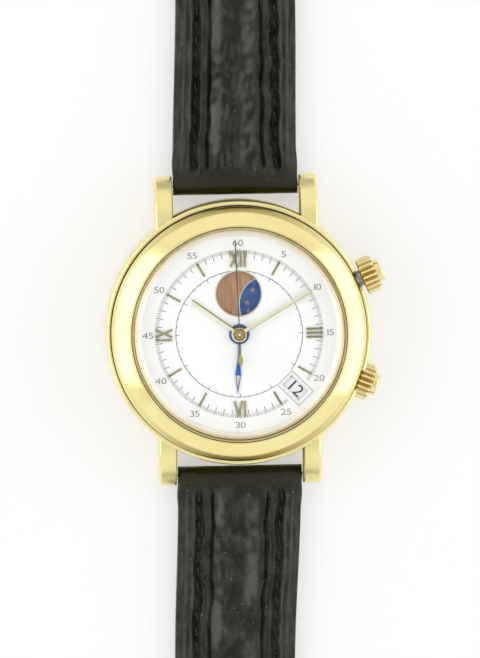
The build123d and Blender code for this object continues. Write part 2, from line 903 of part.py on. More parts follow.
def half_plane(low, high):
    """A tall slab as wide as the bridges between two values of y."""
    width = bridge_radius * 2
    height = plate_bottom * 2
    align = (Align.CENTER, Align.MIN, Align.CENTER)
    return Pos(0, low, 0) * Box(width, high - low, height, align=align)


def barrel_bridge():
    """The bridge over the two spring barrels, on the 12 o'clock side."""
    blank, pillars, holes = bridge_blank(barrel_bridge_angles)
    body = blank & half_plane(bridge_line, bridge_radius)
    return (body + pillars) - holes - bridge_bores()


def cock_seat():
    """The open space round the balance in which the balance cock sits."""
    reach = balance_radius + bridge_recess
    place = Rot(0, 0, escape_line_angle)
    channel = Box(bridge_radius, reach * 2, plate_bottom * 2, align=(Align.MIN, Align.CENTER, Align.CENTER))
    return polar(balance_distance, escape_line_angle) * post(reach, 0, plate_bottom) + place * (
        Pos(balance_distance, 0, 0) * channel
    )


def train_bridge():
    """The bridge over the going train, with the post on which the rotor turns."""
    blank, pillars, holes = bridge_blank(train_bridge_angles)
    body = blank & half_plane(-bridge_radius, bridge_line - bridge_gap)
    body -= cock_seat()
    head_radius = rotor_post_radius + rotor_post_head
    body += pillars
    body += post(rotor_post_radius, rotor_bottom, bridge_bottom)
    body += post(head_radius, case_bottom + running_gap, rotor_bottom - running_gap)
    body += post(rotor_post_radius, rotor_bottom - running_gap, rotor_bottom)
    return body - holes - bridge_bores()


def balance_cock():
    """The narrow bridge over the balance, with the stud that holds the hairspring's outer end."""
    blank, pillars, holes = bridge_blank((cock_screw_angle,))
    inner = balance_distance - cock_width / 2
    arm = Box(bridge_radius, cock_width, plate_bottom * 2, align=(Align.MIN, Align.CENTER, Align.CENTER))
    body = blank & (Rot(0, 0, escape_line_angle) * (Pos(inner, 0, 0) * arm))
    stud_top = train_floor + hairspring_lift + hairspring_height
    stud_place = hairspring_outer_radius() + stud_radius
    stud = Pos(stud_place, 0, 0) * post(stud_radius, train_floor, stud_top)
    place = polar(balance_distance, escape_line_angle) * Rot(0, 0, escape_line_angle)
    body += [*pillars, place * stud]
    return body - holes - bridge_bores()


def bridge_screws():
    """The screws that hold the bridges down on the main plate."""
    head = post(bridge_screw_head_radius, bridge_bottom, bridge_bottom + bridge_screw_head_height)
    shank = post(bridge_screw_radius, bridge_bottom, plate_bottom + bridge_screw_grip)
    screw = head + shank
    return Part() + [polar(bridge_screw_distance, angle) * screw for angle in bridge_screw_angles()]


def movement_jewels():
    """The ruby rings in the main plate and in the bridges."""
    bore = pivot_radius + running_gap
    low = ring(jewel_radius, bore, train_floor - jewel_thickness, train_floor)
    high = ring(jewel_radius, bore, plate_bottom, plate_bottom + jewel_thickness)
    return Part() + [place * jewel for place in jewel_places() for jewel in (low, high)]


def rotor():
    """The half disc that winds the spring, with a heavy rim and a ball bearing hub."""
    top = rotor_bottom + rotor_thickness
    weight_top = rotor_bottom + rotor_weight_height
    weight_inner = rotor_radius - rotor_weight_width
    half = half_plane(-rotor_radius * 2, 0) + post(rotor_hub_radius, 0, plate_bottom)
    plate = post(rotor_radius, rotor_bottom, top)
    plate += ring(rotor_radius, weight_inner, rotor_bottom, weight_top)
    window_outer = weight_inner - rotor_window_margin
    window = ring(window_outer, rotor_window_inner, rotor_bottom, top)
    window_low = -rotor_radius
    window_high = -rotor_window_inner / 2
    plate -= window & half_plane(window_low, window_high)
    body = plate & half
    return body - post(rotor_post_radius + running_gap, 0, plate_bottom)


def going_barrel():
    """The drum that holds the mainspring, toothed round its edge, on its arbor."""
    bottom = train_floor + barrel_lift
    top = bottom + barrel_height
    teeth_bottom = train_floor + centre_pinion_lift
    teeth = toothed(barrel_tip_radius, barrel_teeth, teeth_bottom, teeth_bottom + barrel_teeth_height)
    shaft = post(barrel_arbor_radius, train_floor - pivot_depth, plate_bottom + pivot_depth)
    return polar(barrel_distance, barrel_angle) * (post(barrel_radius, bottom, top) + teeth + shaft)


def alarm_barrel():
    """The drum of the alarm's own mainspring."""
    bottom = train_floor + alarm_barrel_lift
    shaft = post(barrel_arbor_radius, train_floor - pivot_depth, plate_bottom + pivot_depth)
    drum = post(alarm_barrel_radius, bottom, bottom + alarm_barrel_height)
    return polar(alarm_barrel_distance, alarm_barrel_angle) * (drum + shaft)


def alarm_hammer():
    """The lever that buzzes against the movement ring when the alarm runs."""
    bottom = train_floor + hammer_lift
    top = bottom + hammer_thickness
    middle = (bottom + top) / 2
    arm_align = (Align.MIN, Align.CENTER, Align.CENTER)
    arm = Pos(0, 0, middle) * Box(hammer_length, hammer_width, hammer_thickness, align=arm_align)
    head = Pos(hammer_length, 0, 0) * post(hammer_head_radius, bottom, top)
    hub = post(hammer_hub_radius, bottom, top)
    pin = post(arbor_radius, train_floor - pivot_depth, plate_bottom + pivot_depth)
    turn = Rot(0, 0, hammer_angle - 90 + hammer_lean_angle)
    return polar(hammer_distance, hammer_angle) * (turn * (arm + head + hub + pin))


def centre_wheel():
    """The centre wheel on its hollow arbor, which carries the cannon pinion above the plate."""
    wheel_bottom = train_floor + centre_wheel_lift
    wheel_top = wheel_bottom + centre_wheel_thickness
    pinion_bottom = train_floor + centre_pinion_lift
    wheel = toothed(centre_wheel_radius, centre_wheel_teeth, wheel_bottom, wheel_top)
    wheel -= crossings(centre_pinion_radius, centre_wheel_radius, wheel_bottom, wheel_top)
    pinion_top = pinion_bottom + centre_pinion_height
    pinion = toothed(centre_pinion_radius, centre_pinion_teeth, pinion_bottom, pinion_top)
    arbor_top = hour_hand_bottom
    shaft = post(centre_arbor_radius, pinion_bottom, arbor_top)
    bore = post(centre_bore, pinion_bottom - cut_overrun, arbor_top + cut_overrun)
    return wheel + pinion + shaft - bore


def third_wheel():
    """The third wheel with its pinion, between the centre wheel and the fourth wheel."""
    bottom = train_floor + third_wheel_lift
    top = bottom + third_wheel_thickness
    pinion_top = train_floor + centre_wheel_lift + centre_wheel_thickness + wheel_gap
    wheel = toothed(third_wheel_radius, third_wheel_teeth, bottom, top)
    wheel -= crossings(third_pinion_radius, third_wheel_radius, bottom, top)
    pinion = toothed(third_pinion_radius, third_pinion_teeth, pinion_top - third_pinion_height, pinion_top)
    return polar(third_distance, third_wheel_angle) * (wheel + pinion + arbor(train_floor, plate_bottom))


def fourth_wheel():
    """The fourth wheel under the centre wheel, its long arbor reaching up to the seconds hand."""
    bottom = train_floor + fourth_wheel_lift
    top = bottom + fourth_wheel_thickness
    wheel = toothed(fourth_wheel_radius, fourth_wheel_teeth, bottom, top)
    wheel -= crossings(fourth_pinion_radius, fourth_wheel_radius, bottom, top)
    pinion_bottom = train_floor + third_wheel_lift - turning_gap
    pinion_top = pinion_bottom + fourth_pinion_height
    pinion = toothed(fourth_pinion_radius, fourth_pinion_teeth, pinion_bottom, pinion_top)
    shaft = post(seconds_arbor_radius, train_floor + turning_gap, seconds_hand_bottom)
    pivot = post(pivot_radius, train_floor - pivot_depth, train_floor + turning_gap)
    collar = post(arbor_radius, top, pinion_bottom)
    return wheel + pinion + shaft + pivot + collar


def escape_wheel():
    """The escape wheel and its pinion."""
    bottom = train_floor + escape_wheel_lift
    wheel = toothed(escape_wheel_radius, escape_wheel_teeth, bottom, bottom + escape_wheel_thickness)
    pinion_bottom = train_floor + fourth_wheel_lift - turning_gap
    pinion_top = pinion_bottom + escape_pinion_height
    pinion = toothed(escape_pinion_radius, escape_pinion_teeth, pinion_bottom, pinion_top)
    return polar(escape_distance, escape_line_angle) * (wheel + pinion + arbor(train_floor, plate_bottom))


def pallet_fork():
    """The pallet fork: a cross arm with two pallets towards the escape wheel and a lever to the balance."""
    bottom = train_floor + escape_wheel_lift - turning_gap
    middle = bottom + fork_thickness / 2
    lever_length = fork_to_balance - fork_horn_gap
    lever_align = (Align.MIN, Align.CENTER, Align.CENTER)
    lever = Pos(0, 0, middle) * Box(lever_length, fork_width, fork_thickness, align=lever_align)
    arm = Pos(-fork_arm_offset / 2, 0, middle) * Box(fork_arm_offset, fork_arm_half * 2, fork_thickness)
    stone_place = fork_arm_half - arbor_radius / 2
    stone = Box(fork_stone_length, arbor_radius, fork_thickness, align=(Align.MAX, Align.CENTER, Align.CENTER))
    stones = [Pos(-fork_arm_offset / 2, side * stone_place, middle) * stone for side in (1, -1)]
    body = Rot(0, 0, escape_line_angle) * (lever + arm + stones)
    return polar(fork_distance, escape_line_angle) * (body + arbor(train_floor, plate_bottom))


def balance_wheel():
    """The balance: a rim on two arms, its staff, and the roller with the impulse pin."""
    bottom = train_floor + balance_lift
    top = bottom + balance_thickness
    rim = ring(balance_radius, balance_radius - balance_rim_width, bottom, top)
    arm_length = balance_radius * 2 - balance_rim_width
    arms = Pos(0, 0, (bottom + top) / 2) * Box(arm_length, balance_arm_width, balance_thickness)
    roller_bottom = top + turning_gap
    roller_top = roller_bottom + roller_thickness
    pin_place = roller_radius - impulse_pin_radius * 1.5
    pin = Pos(-pin_place, 0, 0) * post(impulse_pin_radius, roller_top, roller_top + fork_thickness)
    body = rim + arms + post(roller_radius, roller_bottom, roller_top) + pin
    body += post(arbor_radius * 1.5, bottom - turning_gap, roller_bottom)
    turn = Rot(0, 0, escape_line_angle)
    return polar(balance_distance, escape_line_angle) * (turn * (body + arbor(train_floor, plate_bottom)))


def hairspring_outer_radius():
    """Distance of the hairspring's outer end from the balance staff."""
    return hairspring_inner_radius + hairspring_pitch * hairspring_turns + hairspring_ribbon_width


def hairspring():
    """A flat spiral ribbon made of half circles, each a quarter pitch off centre from the last."""
    halves = hairspring_turns * 2
    half_circle = 180
    shift = hairspring_pitch / 4
    half_ribbon = hairspring_ribbon_width / 2

    def half_turn(index, offset):
        radius = hairspring_inner_radius + shift * (2 * index + 1) + offset
        centre = (-shift if index % 2 == 0 else shift, 0)
        start = 0 if index % 2 == 0 else half_circle
        return CenterArc(centre, radius, start, half_circle)

    outer = [half_turn(i, half_ribbon) for i in range(halves)]
    inner = [half_turn(i, -half_ribbon) for i in range(halves)]
    caps = [Line(outer[0] @ 0, inner[0] @ 0), Line(outer[-1] @ 1, inner[-1] @ 1)]
    ribbon = extrude(make_face(outer + inner + caps), hairspring_height)
    lift = Pos(0, 0, train_floor + hairspring_lift) * Rot(0, 0, escape_line_angle)
    return polar(balance_distance, escape_line_angle) * (lift * ribbon)


def cannon_pinion():
    """The pinion that grips the centre arbor and carries the minute hand."""
    bottom = plate_top + cannon_lift
    body = toothed(cannon_teeth_radius, cannon_teeth, bottom, bottom + cannon_teeth_height)
    top = minute_hand_bottom + hand_thickness
    body += post(cannon_radius, bottom, top)
    return body - post(cannon_bore, bottom - cut_overrun, top + cut_overrun)


def minute_wheel():
    """The wheel and pinion that step the cannon pinion down to the hour wheel."""
    bottom = plate_top + cannon_lift
    top = bottom + minute_wheel_thickness
    wheel = toothed(minute_wheel_radius, minute_wheel_teeth, bottom, top)
    pinion = toothed(minute_pinion_radius, minute_pinion_teeth, top, top + minute_pinion_height)
    shaft = post(arbor_radius, plate_top + turning_gap, top)
    return polar(minute_wheel_distance, minute_wheel_angle) * (wheel + pinion + shaft)


def hour_wheel():
    """The hour wheel with the pipe that carries the hour hand."""
    bottom = plate_top + cannon_lift + minute_wheel_thickness + wheel_gap
    body = toothed(hour_wheel_radius, hour_wheel_teeth, bottom, bottom + hour_wheel_thickness)
    top = hour_hand_bottom + hand_thickness
    body += post(hour_pipe_radius, bottom, top)
    return body - post(hour_pipe_bore, bottom - cut_overrun, top + cut_overrun)


def alarm_wheel():
    """The alarm wheel with the pipe that carries the alarm hand."""
    top_of_pinion = plate_top + cannon_lift + minute_wheel_thickness + minute_pinion_height
    bottom = top_of_pinion + wheel_gap * 2
    body = toothed(alarm_wheel_radius, alarm_wheel_teeth, bottom, bottom + alarm_wheel_thickness)
    top = alarm_hand_bottom + thin_hand_thickness
    body += post(alarm_pipe_radius, bottom, top)
    return body - post(alarm_pipe_bore, bottom - cut_overrun, top + cut_overrun)


def calendar_plate():
    """The plate that carries the date ring and moon disc, standing on the main plate by its foot rim."""
    foot = ring(plate_radius, plate_radius - calendar_foot_width, plate_top, calendar_bottom)
    rim_outer = date_ring_outer_radius + running_gap + calendar_rim_width
    floor = ring(rim_outer, calendar_bore, calendar_bottom, calendar_top)
    rim = ring(rim_outer, rim_outer - calendar_rim_width, calendar_top, dial_bottom)
    pipe = ring(calendar_pipe_radius, calendar_bore, calendar_top, disc_top + dial_gap / 2)
    return foot + floor + rim + pipe


def date_ring():
    """The ring that carries the numbers of the days, with a driving notch inside for each day."""
    body = ring(date_ring_outer_radius, date_ring_inner_radius, disc_bottom, disc_top)
    step = 360 / date_notch_count
    notch = post(date_notch_radius, disc_bottom - cut_overrun, disc_top + cut_overrun)
    places = [polar(date_ring_inner_radius, step * (i + 0.5)) for i in range(date_notch_count)]
    return body - [place * notch for place in places]


def moon_disc():
    """The disc that turns under the moon window, coaxial with the hands."""
    return ring(moon_disc_radius, calendar_pipe_radius + running_gap, disc_bottom, disc_top)


def dial():
    """The dial with its centre hole, the round moon window and the bevelled date window."""
    body = post(dial_radius, dial_bottom, dial_top)
    body -= post(calendar_bore + running_gap, dial_bottom - cut_overrun, dial_top + cut_overrun)
    window = post(moon_window_radius, dial_bottom - cut_overrun, dial_top + cut_overrun)
    body -= Pos(0, moon_window_distance, 0) * window
    lower = Rectangle(date_window_length - date_bevel * 2, date_window_width - date_bevel * 2)
    upper = Rectangle(date_window_length, date_window_width)
    opening = loft([Pos(0, 0, dial_bottom) * lower, Pos(0, 0, dial_top) * upper])
    return body - Rot(0, 0, date_angle) * (Pos(date_distance, 0, 0) * opening)


def moon_window_ring():
    """The thin metal rim round the moon window."""
    rim = ring(moon_window_radius + moon_rim_width, moon_window_radius, dial_top, dial_top + moon_rim_height)
    return Pos(0, moon_window_distance, 0) * rim


def ridged_bar(width, start, end, bottom, height):
    """A bar along Y with a flat foot and a ridge along its middle."""
    base = height * hand_base_share
    half = width / 2
    profile = Polyline((-half, 0), (half, 0), (half, base), (0, height), (-half, base), close=True)
    side = Plane(origin=(0, start, bottom), x_dir=(-1, 0, 0), z_dir=(0, 1, 0)) * make_face(profile)
    return extrude(side, end - start)


def hour_batons():
    """The eight applied batons at the hours that have no numeral."""
    baton = ridged_bar(marker_width, baton_inner, baton_outer, dial_top, marker_height)
    step = 360 / 12
    hours = [hour for hour in range(12) if hour % 3]
    return Part() + [Rot(0, 0, -step * hour) * baton for hour in hours]


def numeral_stroke(foot, head):
    """A straight stroke of a numeral from one (across, up) point of its face to another."""
    middle = ((foot[0] + head[0]) / 2, (foot[1] + head[1]) / 2)
    run = (head[0] - foot[0], head[1] - foot[1])
    length = sqrt(run[0] ** 2 + run[1] ** 2)
    lean = Vector(0, 1, 0).get_signed_angle(Vector(run[0], run[1], 0), Vector(0, 0, 1))
    bar = Box(numeral_bar, length, marker_height, align=(Align.CENTER, Align.CENTER, Align.MIN))
    return Pos(middle[0], middle[1], dial_top) * (Rot(0, 0, lean) * bar)


def numeral(letters):
    """A Roman numeral as one solid or more, centred, its strokes one numeral height tall."""
    half = (numeral_outer - numeral_inner) / 2
    spread = numeral_cross_spread / 2
    strokes = {
        "I": [((0, -half), (0, half))],
        "V": [((0, -half), (-spread, half)), ((0, -half), (spread, half))],
        "X": [((-spread, -half), (spread, half)), ((spread, -half), (-spread, half))],
    }
    widths = {"I": numeral_pitch, "V": numeral_cross_spread + numeral_bar, "X": numeral_cross_spread + numeral_bar}
    place = -sum(widths[letter] for letter in letters) / 2
    body = Part()
    for letter in letters:
        place += widths[letter] / 2
        body += [Pos(place, 0, 0) * numeral_stroke(foot, head) for foot, head in strokes[letter]]
        place += widths[letter] / 2
    return body


def roman_numerals():
    """The applied numerals: XII and VI stand upright, III and IX read from the centre."""
    middle = (numeral_outer + numeral_inner) / 2
    twelve = Pos(0, middle, 0) * numeral("XII")
    three = Pos(middle, 0, 0) * (Rot(0, 0, -90) * numeral("III"))
    six = Pos(0, -middle, 0) * numeral("VI")
    nine = Pos(-middle, 0, 0) * (Rot(0, 0, 90) * numeral("IX"))
    return twelve + three + six + nine


def baton_hand(length, hub_radius, bore, bottom, angle):
    """A slim ridged hand with a rounded tip on a round hub."""
    blade = ridged_bar(hand_width, 0, length, bottom, hand_thickness)
    tip = Pos(0, length - hand_width / 2, 0) * post(hand_width / 2, bottom, bottom + hand_thickness)
    shank_align = (Align.CENTER, Align.MIN, Align.MIN)
    shank = Box(hand_width * 2, length - hand_width / 2, hand_thickness, align=shank_align)
    shank = Pos(0, 0, bottom) * shank
    body = (blade & (shank + tip)) + post(hub_radius, bottom, bottom + hand_thickness)
    body -= post(bore, bottom - cut_overrun, bottom + cut_overrun)
    return Rot(0, 0, -angle) * body


def hour_hand():
    """The hour hand on the hour wheel's pipe."""
    return baton_hand(hour_hand_length, hour_hub_radius, hour_pipe_radius, hour_hand_bottom, hour_hand_angle)


def minute_hand():
    """The minute hand on the cannon pinion."""
    return baton_hand(minute_hand_length, minute_hub_radius, cannon_radius, minute_hand_bottom, minute_hand_angle)


def seconds_hand():
    """The thin seconds hand with a pear shaped counterweight."""
    align = (Align.CENTER, Align.MIN, Align.MIN)
    length = seconds_hand_length + seconds_hand_tail
    bar = Box(seconds_hand_width, length, thin_hand_thickness, align=align)
    body = Pos(0, -seconds_hand_tail, seconds_hand_bottom) * bar
    neck = (0, -pear_start)
    foot = (0, -pear_start - pear_length)
    belly = -pear_start - pear_length * pear_belly_share
    pear = make_face([
        ThreePointArc(neck, (pear_width / 2, belly), foot),
        ThreePointArc(foot, (-pear_width / 2, belly), neck),
    ])
    body += Pos(0, 0, seconds_hand_bottom) * extrude(pear, thin_hand_thickness)
    body += post(seconds_hub_radius, seconds_hand_bottom, seconds_hand_bottom + thin_hand_thickness)
    return Rot(0, 0, -seconds_hand_angle) * body


def alarm_hand():
    """The alarm hand: a narrow stem, a solid wedge and an open arrow head."""
    stem_half = alarm_stem_width / 2
    wide_half = alarm_blade_width / 2
    blade = Polyline(
        (-stem_half, 0),
        (-stem_half, alarm_blade_start),
        (-wide_half, alarm_blade_middle),
        (0, alarm_hand_length),
        (wide_half, alarm_blade_middle),
        (stem_half, alarm_blade_start),
        (stem_half, 0),
        close=True,
    )
    inner_half = wide_half - alarm_blade_stroke
    inner_tip = alarm_blade_middle + (alarm_hand_length - alarm_blade_middle) * inner_half / wide_half
    gap = Polyline(
        (-inner_half, alarm_blade_middle + alarm_blade_stroke),
        (inner_half, alarm_blade_middle + alarm_blade_stroke),
        (0, inner_tip),
        close=True,
    )
    face = make_face(blade) - make_face(gap)
    body = Pos(0, 0, alarm_hand_bottom) * extrude(face, thin_hand_thickness)
    body += post(alarm_hub_radius, alarm_hand_bottom, alarm_hand_bottom + thin_hand_thickness)
    body -= post(alarm_pipe_radius, alarm_hand_bottom - cut_overrun, alarm_hand_bottom + cut_overrun)
    return Rot(0, 0, -alarm_hand_angle) * body


def strap_section(place, half_width, bottom, edge, crown, groove):
    """A cut across the strap: flat underside, upright sides, two flanks and a raised middle panel."""
    panel = half_width * panel_share
    valley = bottom + crown - groove
    flank = (half_width + panel) / 2
    flank_top = max(bottom + edge, valley) + flank_bulge
    corners = [(half_width, bottom), (half_width, bottom + edge), (panel, valley)]
    left = [(-x, z) for x, z in corners]
    outline = [
        Line(left[0], corners[0]),
        Line(corners[0], corners[1]),
        ThreePointArc(corners[1], (flank, flank_top), corners[2]),
        ThreePointArc(corners[2], (0, bottom + crown), left[2]),
        ThreePointArc(left[2], (-flank, flank_top), left[1]),
        Line(left[1], left[0]),
    ]
    plane = Plane(origin=(0, place, 0), x_dir=(1, 0, 0), z_dir=(0, -1, 0))
    return plane * make_face(outline)


def strap_fold(place, height, width):
    """The rounded fold of leather round a bar at one end of a strap half."""
    half = width / 2
    return across(strap_end_radius, -half, half, place, height)


def strap_half(stations, far_width, length):
    """A strap half along +Y from the spring bar: a loft through its stations plus the fold at the bar.

    A station is (distance, underside height, edge thickness, panel thickness, groove depth, width share)."""
    sections = []
    for distance, bottom, edge, crown, groove, share in stations:
        width = strap_width + (far_width - strap_width) * distance / length
        section = strap_section(bar_distance + distance, width * share / 2, bottom, edge, crown, groove)
        sections.append(section)
    body = loft(sections, ruled=True)
    body += strap_fold(bar_distance, bar_height, strap_width)
    reach = strap_width / 2 + cut_overrun
    return body - across(bar_radius + running_gap, -reach, reach, bar_distance, bar_height)


def shared_stations():
    """The stations next to the case, alike on both halves: the strap leaves the bar and settles down."""
    fold = strap_end_radius * 2
    fold_bottom = bar_height - strap_end_radius
    drop = strap_settle * strap_drop_share
    drop_bottom = fold_bottom * strap_drop_height_share
    return [
        (0, fold_bottom, fold - flank_bulge, fold, flank_bulge, 1),
        (drop, drop_bottom, pad_edge, pad_thickness, groove_depth, 1),
        (strap_settle, 0, pad_edge, pad_thickness, groove_depth, 1),
        (pad_length, 0, pad_edge, pad_thickness, groove_depth, 1),
    ]


def buckle_side_strap():
    """The shorter strap half, thinned towards the buckle and lifted where the keepers pass under it."""
    lifted = keeper_thickness + leather_gap
    arch_flat = buckle_arch_start + buckle_arch_slope
    fold = strap_end_radius * 2
    stations = shared_stations() + [
        (buckle_arch_start, 0, thin_edge, thin_thickness, thin_groove_depth, 1),
        (arch_flat, lifted, thin_edge, thin_thickness, thin_groove_depth, 1),
        (buckle_arch_end, lifted, thin_edge, thin_thickness, thin_groove_depth, 1),
        (buckle_side_length, 0, fold - flank_bulge, fold, flank_bulge, 1),
    ]
    body = strap_half(stations, strap_buckle_width, buckle_side_length)
    body += strap_fold(buckle_distance, strap_end_radius, strap_buckle_width)
    reach = strap_width
    body -= across(pin_radius + pin_gap, -reach, reach, buckle_distance, strap_end_radius)
    slot_length = tongue_slot_length + strap_end_radius + cut_overrun
    slot = Box(tongue_slot_width, slot_length, fold * 3, align=(Align.CENTER, Align.MIN, Align.CENTER))
    return body - Pos(0, buckle_distance - tongue_slot_length, 0) * slot


def tail_side_strap():
    """The longer strap half with a rounded point and a row of holes."""
    tip_start = tail_side_length - tail_tip_length
    stations = shared_stations() + [
        (tail_pad_end, 0, thin_edge, thin_thickness, thin_groove_depth, 1),
        (tip_start, 0, thin_edge, thin_thickness, thin_groove_depth, 1),
    ]
    for step in range(1, tail_tip_steps + 1):
        along = step / tail_tip_steps
        share = tail_tip_blunt_share + (1 - tail_tip_blunt_share) * sqrt(1 - along**2)
        distance = tip_start + tail_tip_length * along
        stations.append((distance, 0, thin_edge, thin_thickness, thin_groove_depth, share))
    body = strap_half(stations, strap_tail_width, tail_side_length)
    hole = post(tail_hole_radius, -cut_overrun, pad_thickness + cut_overrun)
    last = bar_distance + tail_side_length - tail_hole_first
    body -= [Pos(0, last - tail_hole_pitch * i, 0) * hole for i in range(tail_hole_count)]
    return Rot(0, 0, 180) * body


def keeper(place, width, inner_half):
    """A leather loop round the strap with room above it for the tail."""
    top = keeper_thickness + leather_gap + thin_thickness + keeper_headroom
    outer_half = inner_half + keeper_thickness
    outer_height = top + keeper_thickness
    middle = bar_distance + place
    outer = Pos(0, outer_height / 2) * RectangleRounded(outer_half * 2, outer_height, keeper_round * 2)
    inner_low = keeper_thickness
    inner_height = top - inner_low
    inner = Pos(0, inner_low + inner_height / 2) * Rectangle(inner_half * 2, inner_height)
    plane = Plane(origin=(0, middle + width / 2, 0), x_dir=(-1, 0, 0), z_dir=(0, 1, 0))
    return extrude(plane * (outer - inner), -width)


def strap_half_width_at(distance):
    """Half the width of the buckle side strap at a distance from the spring bar."""
    width = strap_width + (strap_buckle_width - strap_width) * distance / buckle_side_length
    return width / 2


def fixed_keeper():
    """The keeper that is sewn to the strap near the buckle."""
    widest = strap_half_width_at(fixed_keeper_place - fixed_keeper_width / 2)
    return keeper(fixed_keeper_place, fixed_keeper_width, widest + running_gap)


def free_keeper():
    """The keeper that slides along the strap."""
    widest = strap_half_width_at(free_keeper_place - free_keeper_travel_in - free_keeper_width / 2)
    return keeper(free_keeper_place, free_keeper_width, widest + leather_gap)


def buckle_frame():
    """The buckle's frame: two arms and a front bar, thick at the pin and slimmer in front."""
    inner_half = strap_buckle_width / 2 + frame_arm_gap
    outer_half = inner_half + frame_arm_width
    back = -frame_boss_radius
    front = frame_reach + frame_bar_radius
    depth = front - back
    corner_align = (Align.CENTER, Align.MIN)
    outline = Pos(0, back - frame_corner) * RectangleRounded(
        outer_half * 2, depth + frame_corner, frame_corner, align=corner_align
    )
    outline -= Pos(0, back - frame_corner * 2) * Rectangle(
        outer_half * 3, frame_corner * 2, align=corner_align
    )
    inner_depth = frame_reach - frame_bar_radius - back
    outline -= Pos(0, back - frame_corner) * RectangleRounded(
        inner_half * 2, inner_depth + frame_corner, frame_corner / 3, align=corner_align
    )
    plan = extrude(outline, frame_boss_radius * 4)
    boss = Pos(0, frame_boss_radius) * Circle(frame_boss_radius)
    bar = Pos(frame_reach, frame_bar_radius) * Circle(frame_bar_radius)
    profile = make_hull([*boss.edges(), *bar.edges()])
    side = Plane(origin=(-outer_half * 2, 0, 0), x_dir=(0, 1, 0), z_dir=(1, 0, 0)) * profile
    body = plan & extrude(side, outer_half * 4)
    body = Pos(0, buckle_distance, 0) * body
    hole_half = outer_half - pin_inset
    return body - across(pin_radius, -hole_half, hole_half, buckle_distance, frame_boss_radius)


def buckle_pin():
    """The bar that joins the buckle's frame and tongue to the strap."""
    half = strap_buckle_width / 2 + frame_arm_gap + frame_arm_width - pin_inset
    return across(pin_radius, -half, half, buckle_distance, frame_boss_radius)


def buckle_tongue():
    """The tongue: a loop on the pin and a flat finger that lies on the frame's front bar."""
    centre = (0, frame_boss_radius)
    frame_slope = (frame_boss_radius - frame_bar_radius) * 2 / frame_reach
    bar_top = frame_bar_radius * 2 + frame_slope * frame_bar_radius * 1.5 + turning_gap
    loop_top = frame_boss_radius + tongue_ring
    tip = frame_reach + frame_bar_radius + tongue_overhang
    finger = Polyline(
        (0, loop_top - tongue_thickness),
        (tongue_ring, bar_top),
        (tip, bar_top),
        (tip, bar_top + tongue_thickness / 2),
        (frame_reach, bar_top + tongue_thickness),
        (0, loop_top),
        close=True,
    )
    profile = make_face(finger) + Pos(*centre) * Circle(tongue_ring)
    profile -= Pos(*centre) * Circle(pin_radius + turning_gap)
    half = tongue_width / 2
    side = Plane(origin=(-half, 0, 0), x_dir=(0, 1, 0), z_dir=(1, 0, 0)) * profile
    return Pos(0, buckle_distance, 0) * extrude(side, tongue_width)


def build_all():
    """Every piece of the watch under its node name."""
    alarm_angle, time_angle = crown_angles
    return {
        "case_middle": case_middle(),
        "bezel": bezel(),
        "crystal": crystal(),
        "crystal_gasket": crystal_gasket(),
        "rehaut_ring": rehaut_ring(),
        "case_back": case_back(),
        "case_back_gasket": case_back_gasket(),
        "case_back_screws": case_back_screws(),
        "crown_tubes": crown_tubes(),
        "movement_ring": movement_ring(),
        "spring_bars": spring_bars(),
        "upper_bar_left_tip": bar_tip(-1, 1),
        "upper_bar_right_tip": bar_tip(1, 1),
        "lower_bar_left_tip": bar_tip(-1, -1),
        "lower_bar_right_tip": bar_tip(1, -1),
        "alarm_crown": crown(alarm_angle, alarm_crown_pull),
        "alarm_stem": stem(alarm_angle, alarm_crown_pull),
        "alarm_sliding_pinion": sliding_pinion(alarm_angle),
        "time_crown": crown(time_angle, 0),
        "time_stem": stem(time_angle, 0),
        "time_sliding_pinion": sliding_pinion(time_angle),
        "main_plate": main_plate(),
        "barrel_bridge": barrel_bridge(),
        "train_bridge": train_bridge(),
        "balance_cock": balance_cock(),
        "bridge_screws": bridge_screws(),
        "movement_jewels": movement_jewels(),
        "rotor": rotor(),
        "going_barrel": going_barrel(),
        "alarm_barrel": alarm_barrel(),
        "alarm_hammer": alarm_hammer(),
        "centre_wheel": centre_wheel(),
        "third_wheel": third_wheel(),
        "fourth_wheel": fourth_wheel(),
        "escape_wheel": escape_wheel(),
        "pallet_fork": pallet_fork(),
        "balance_wheel": balance_wheel(),
        "hairspring": hairspring(),
        "cannon_pinion": cannon_pinion(),
        "minute_wheel": minute_wheel(),
        "hour_wheel": hour_wheel(),
        "alarm_wheel": alarm_wheel(),
        "calendar_plate": calendar_plate(),
        "date_ring": date_ring(),
        "moon_disc": moon_disc(),
        "dial": dial(),
        "moon_window_ring": moon_window_ring(),
        "hour_batons": hour_batons(),
        "roman_numerals": roman_numerals(),
        "hour_hand": hour_hand(),
        "minute_hand": minute_hand(),
        "seconds_hand": seconds_hand(),
        "alarm_hand": alarm_hand(),
        "buckle_side_strap": buckle_side_strap(),
        "tail_side_strap": tail_side_strap(),
        "fixed_keeper": fixed_keeper(),
        "free_keeper": free_keeper(),
        "buckle_frame": buckle_frame(),
        "buckle_pin": buckle_pin(),
        "buckle_tongue": buckle_tongue(),
    }


os.makedirs("parts", exist_ok=True)
for name, shape in build_all().items():
    export_step(shape, f"parts/{name}.step")
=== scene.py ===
import json
from math import cos, pi, radians, sin, sqrt, tan

import bmesh
import bpy
import numpy as np
from mathutils import Matrix, Vector

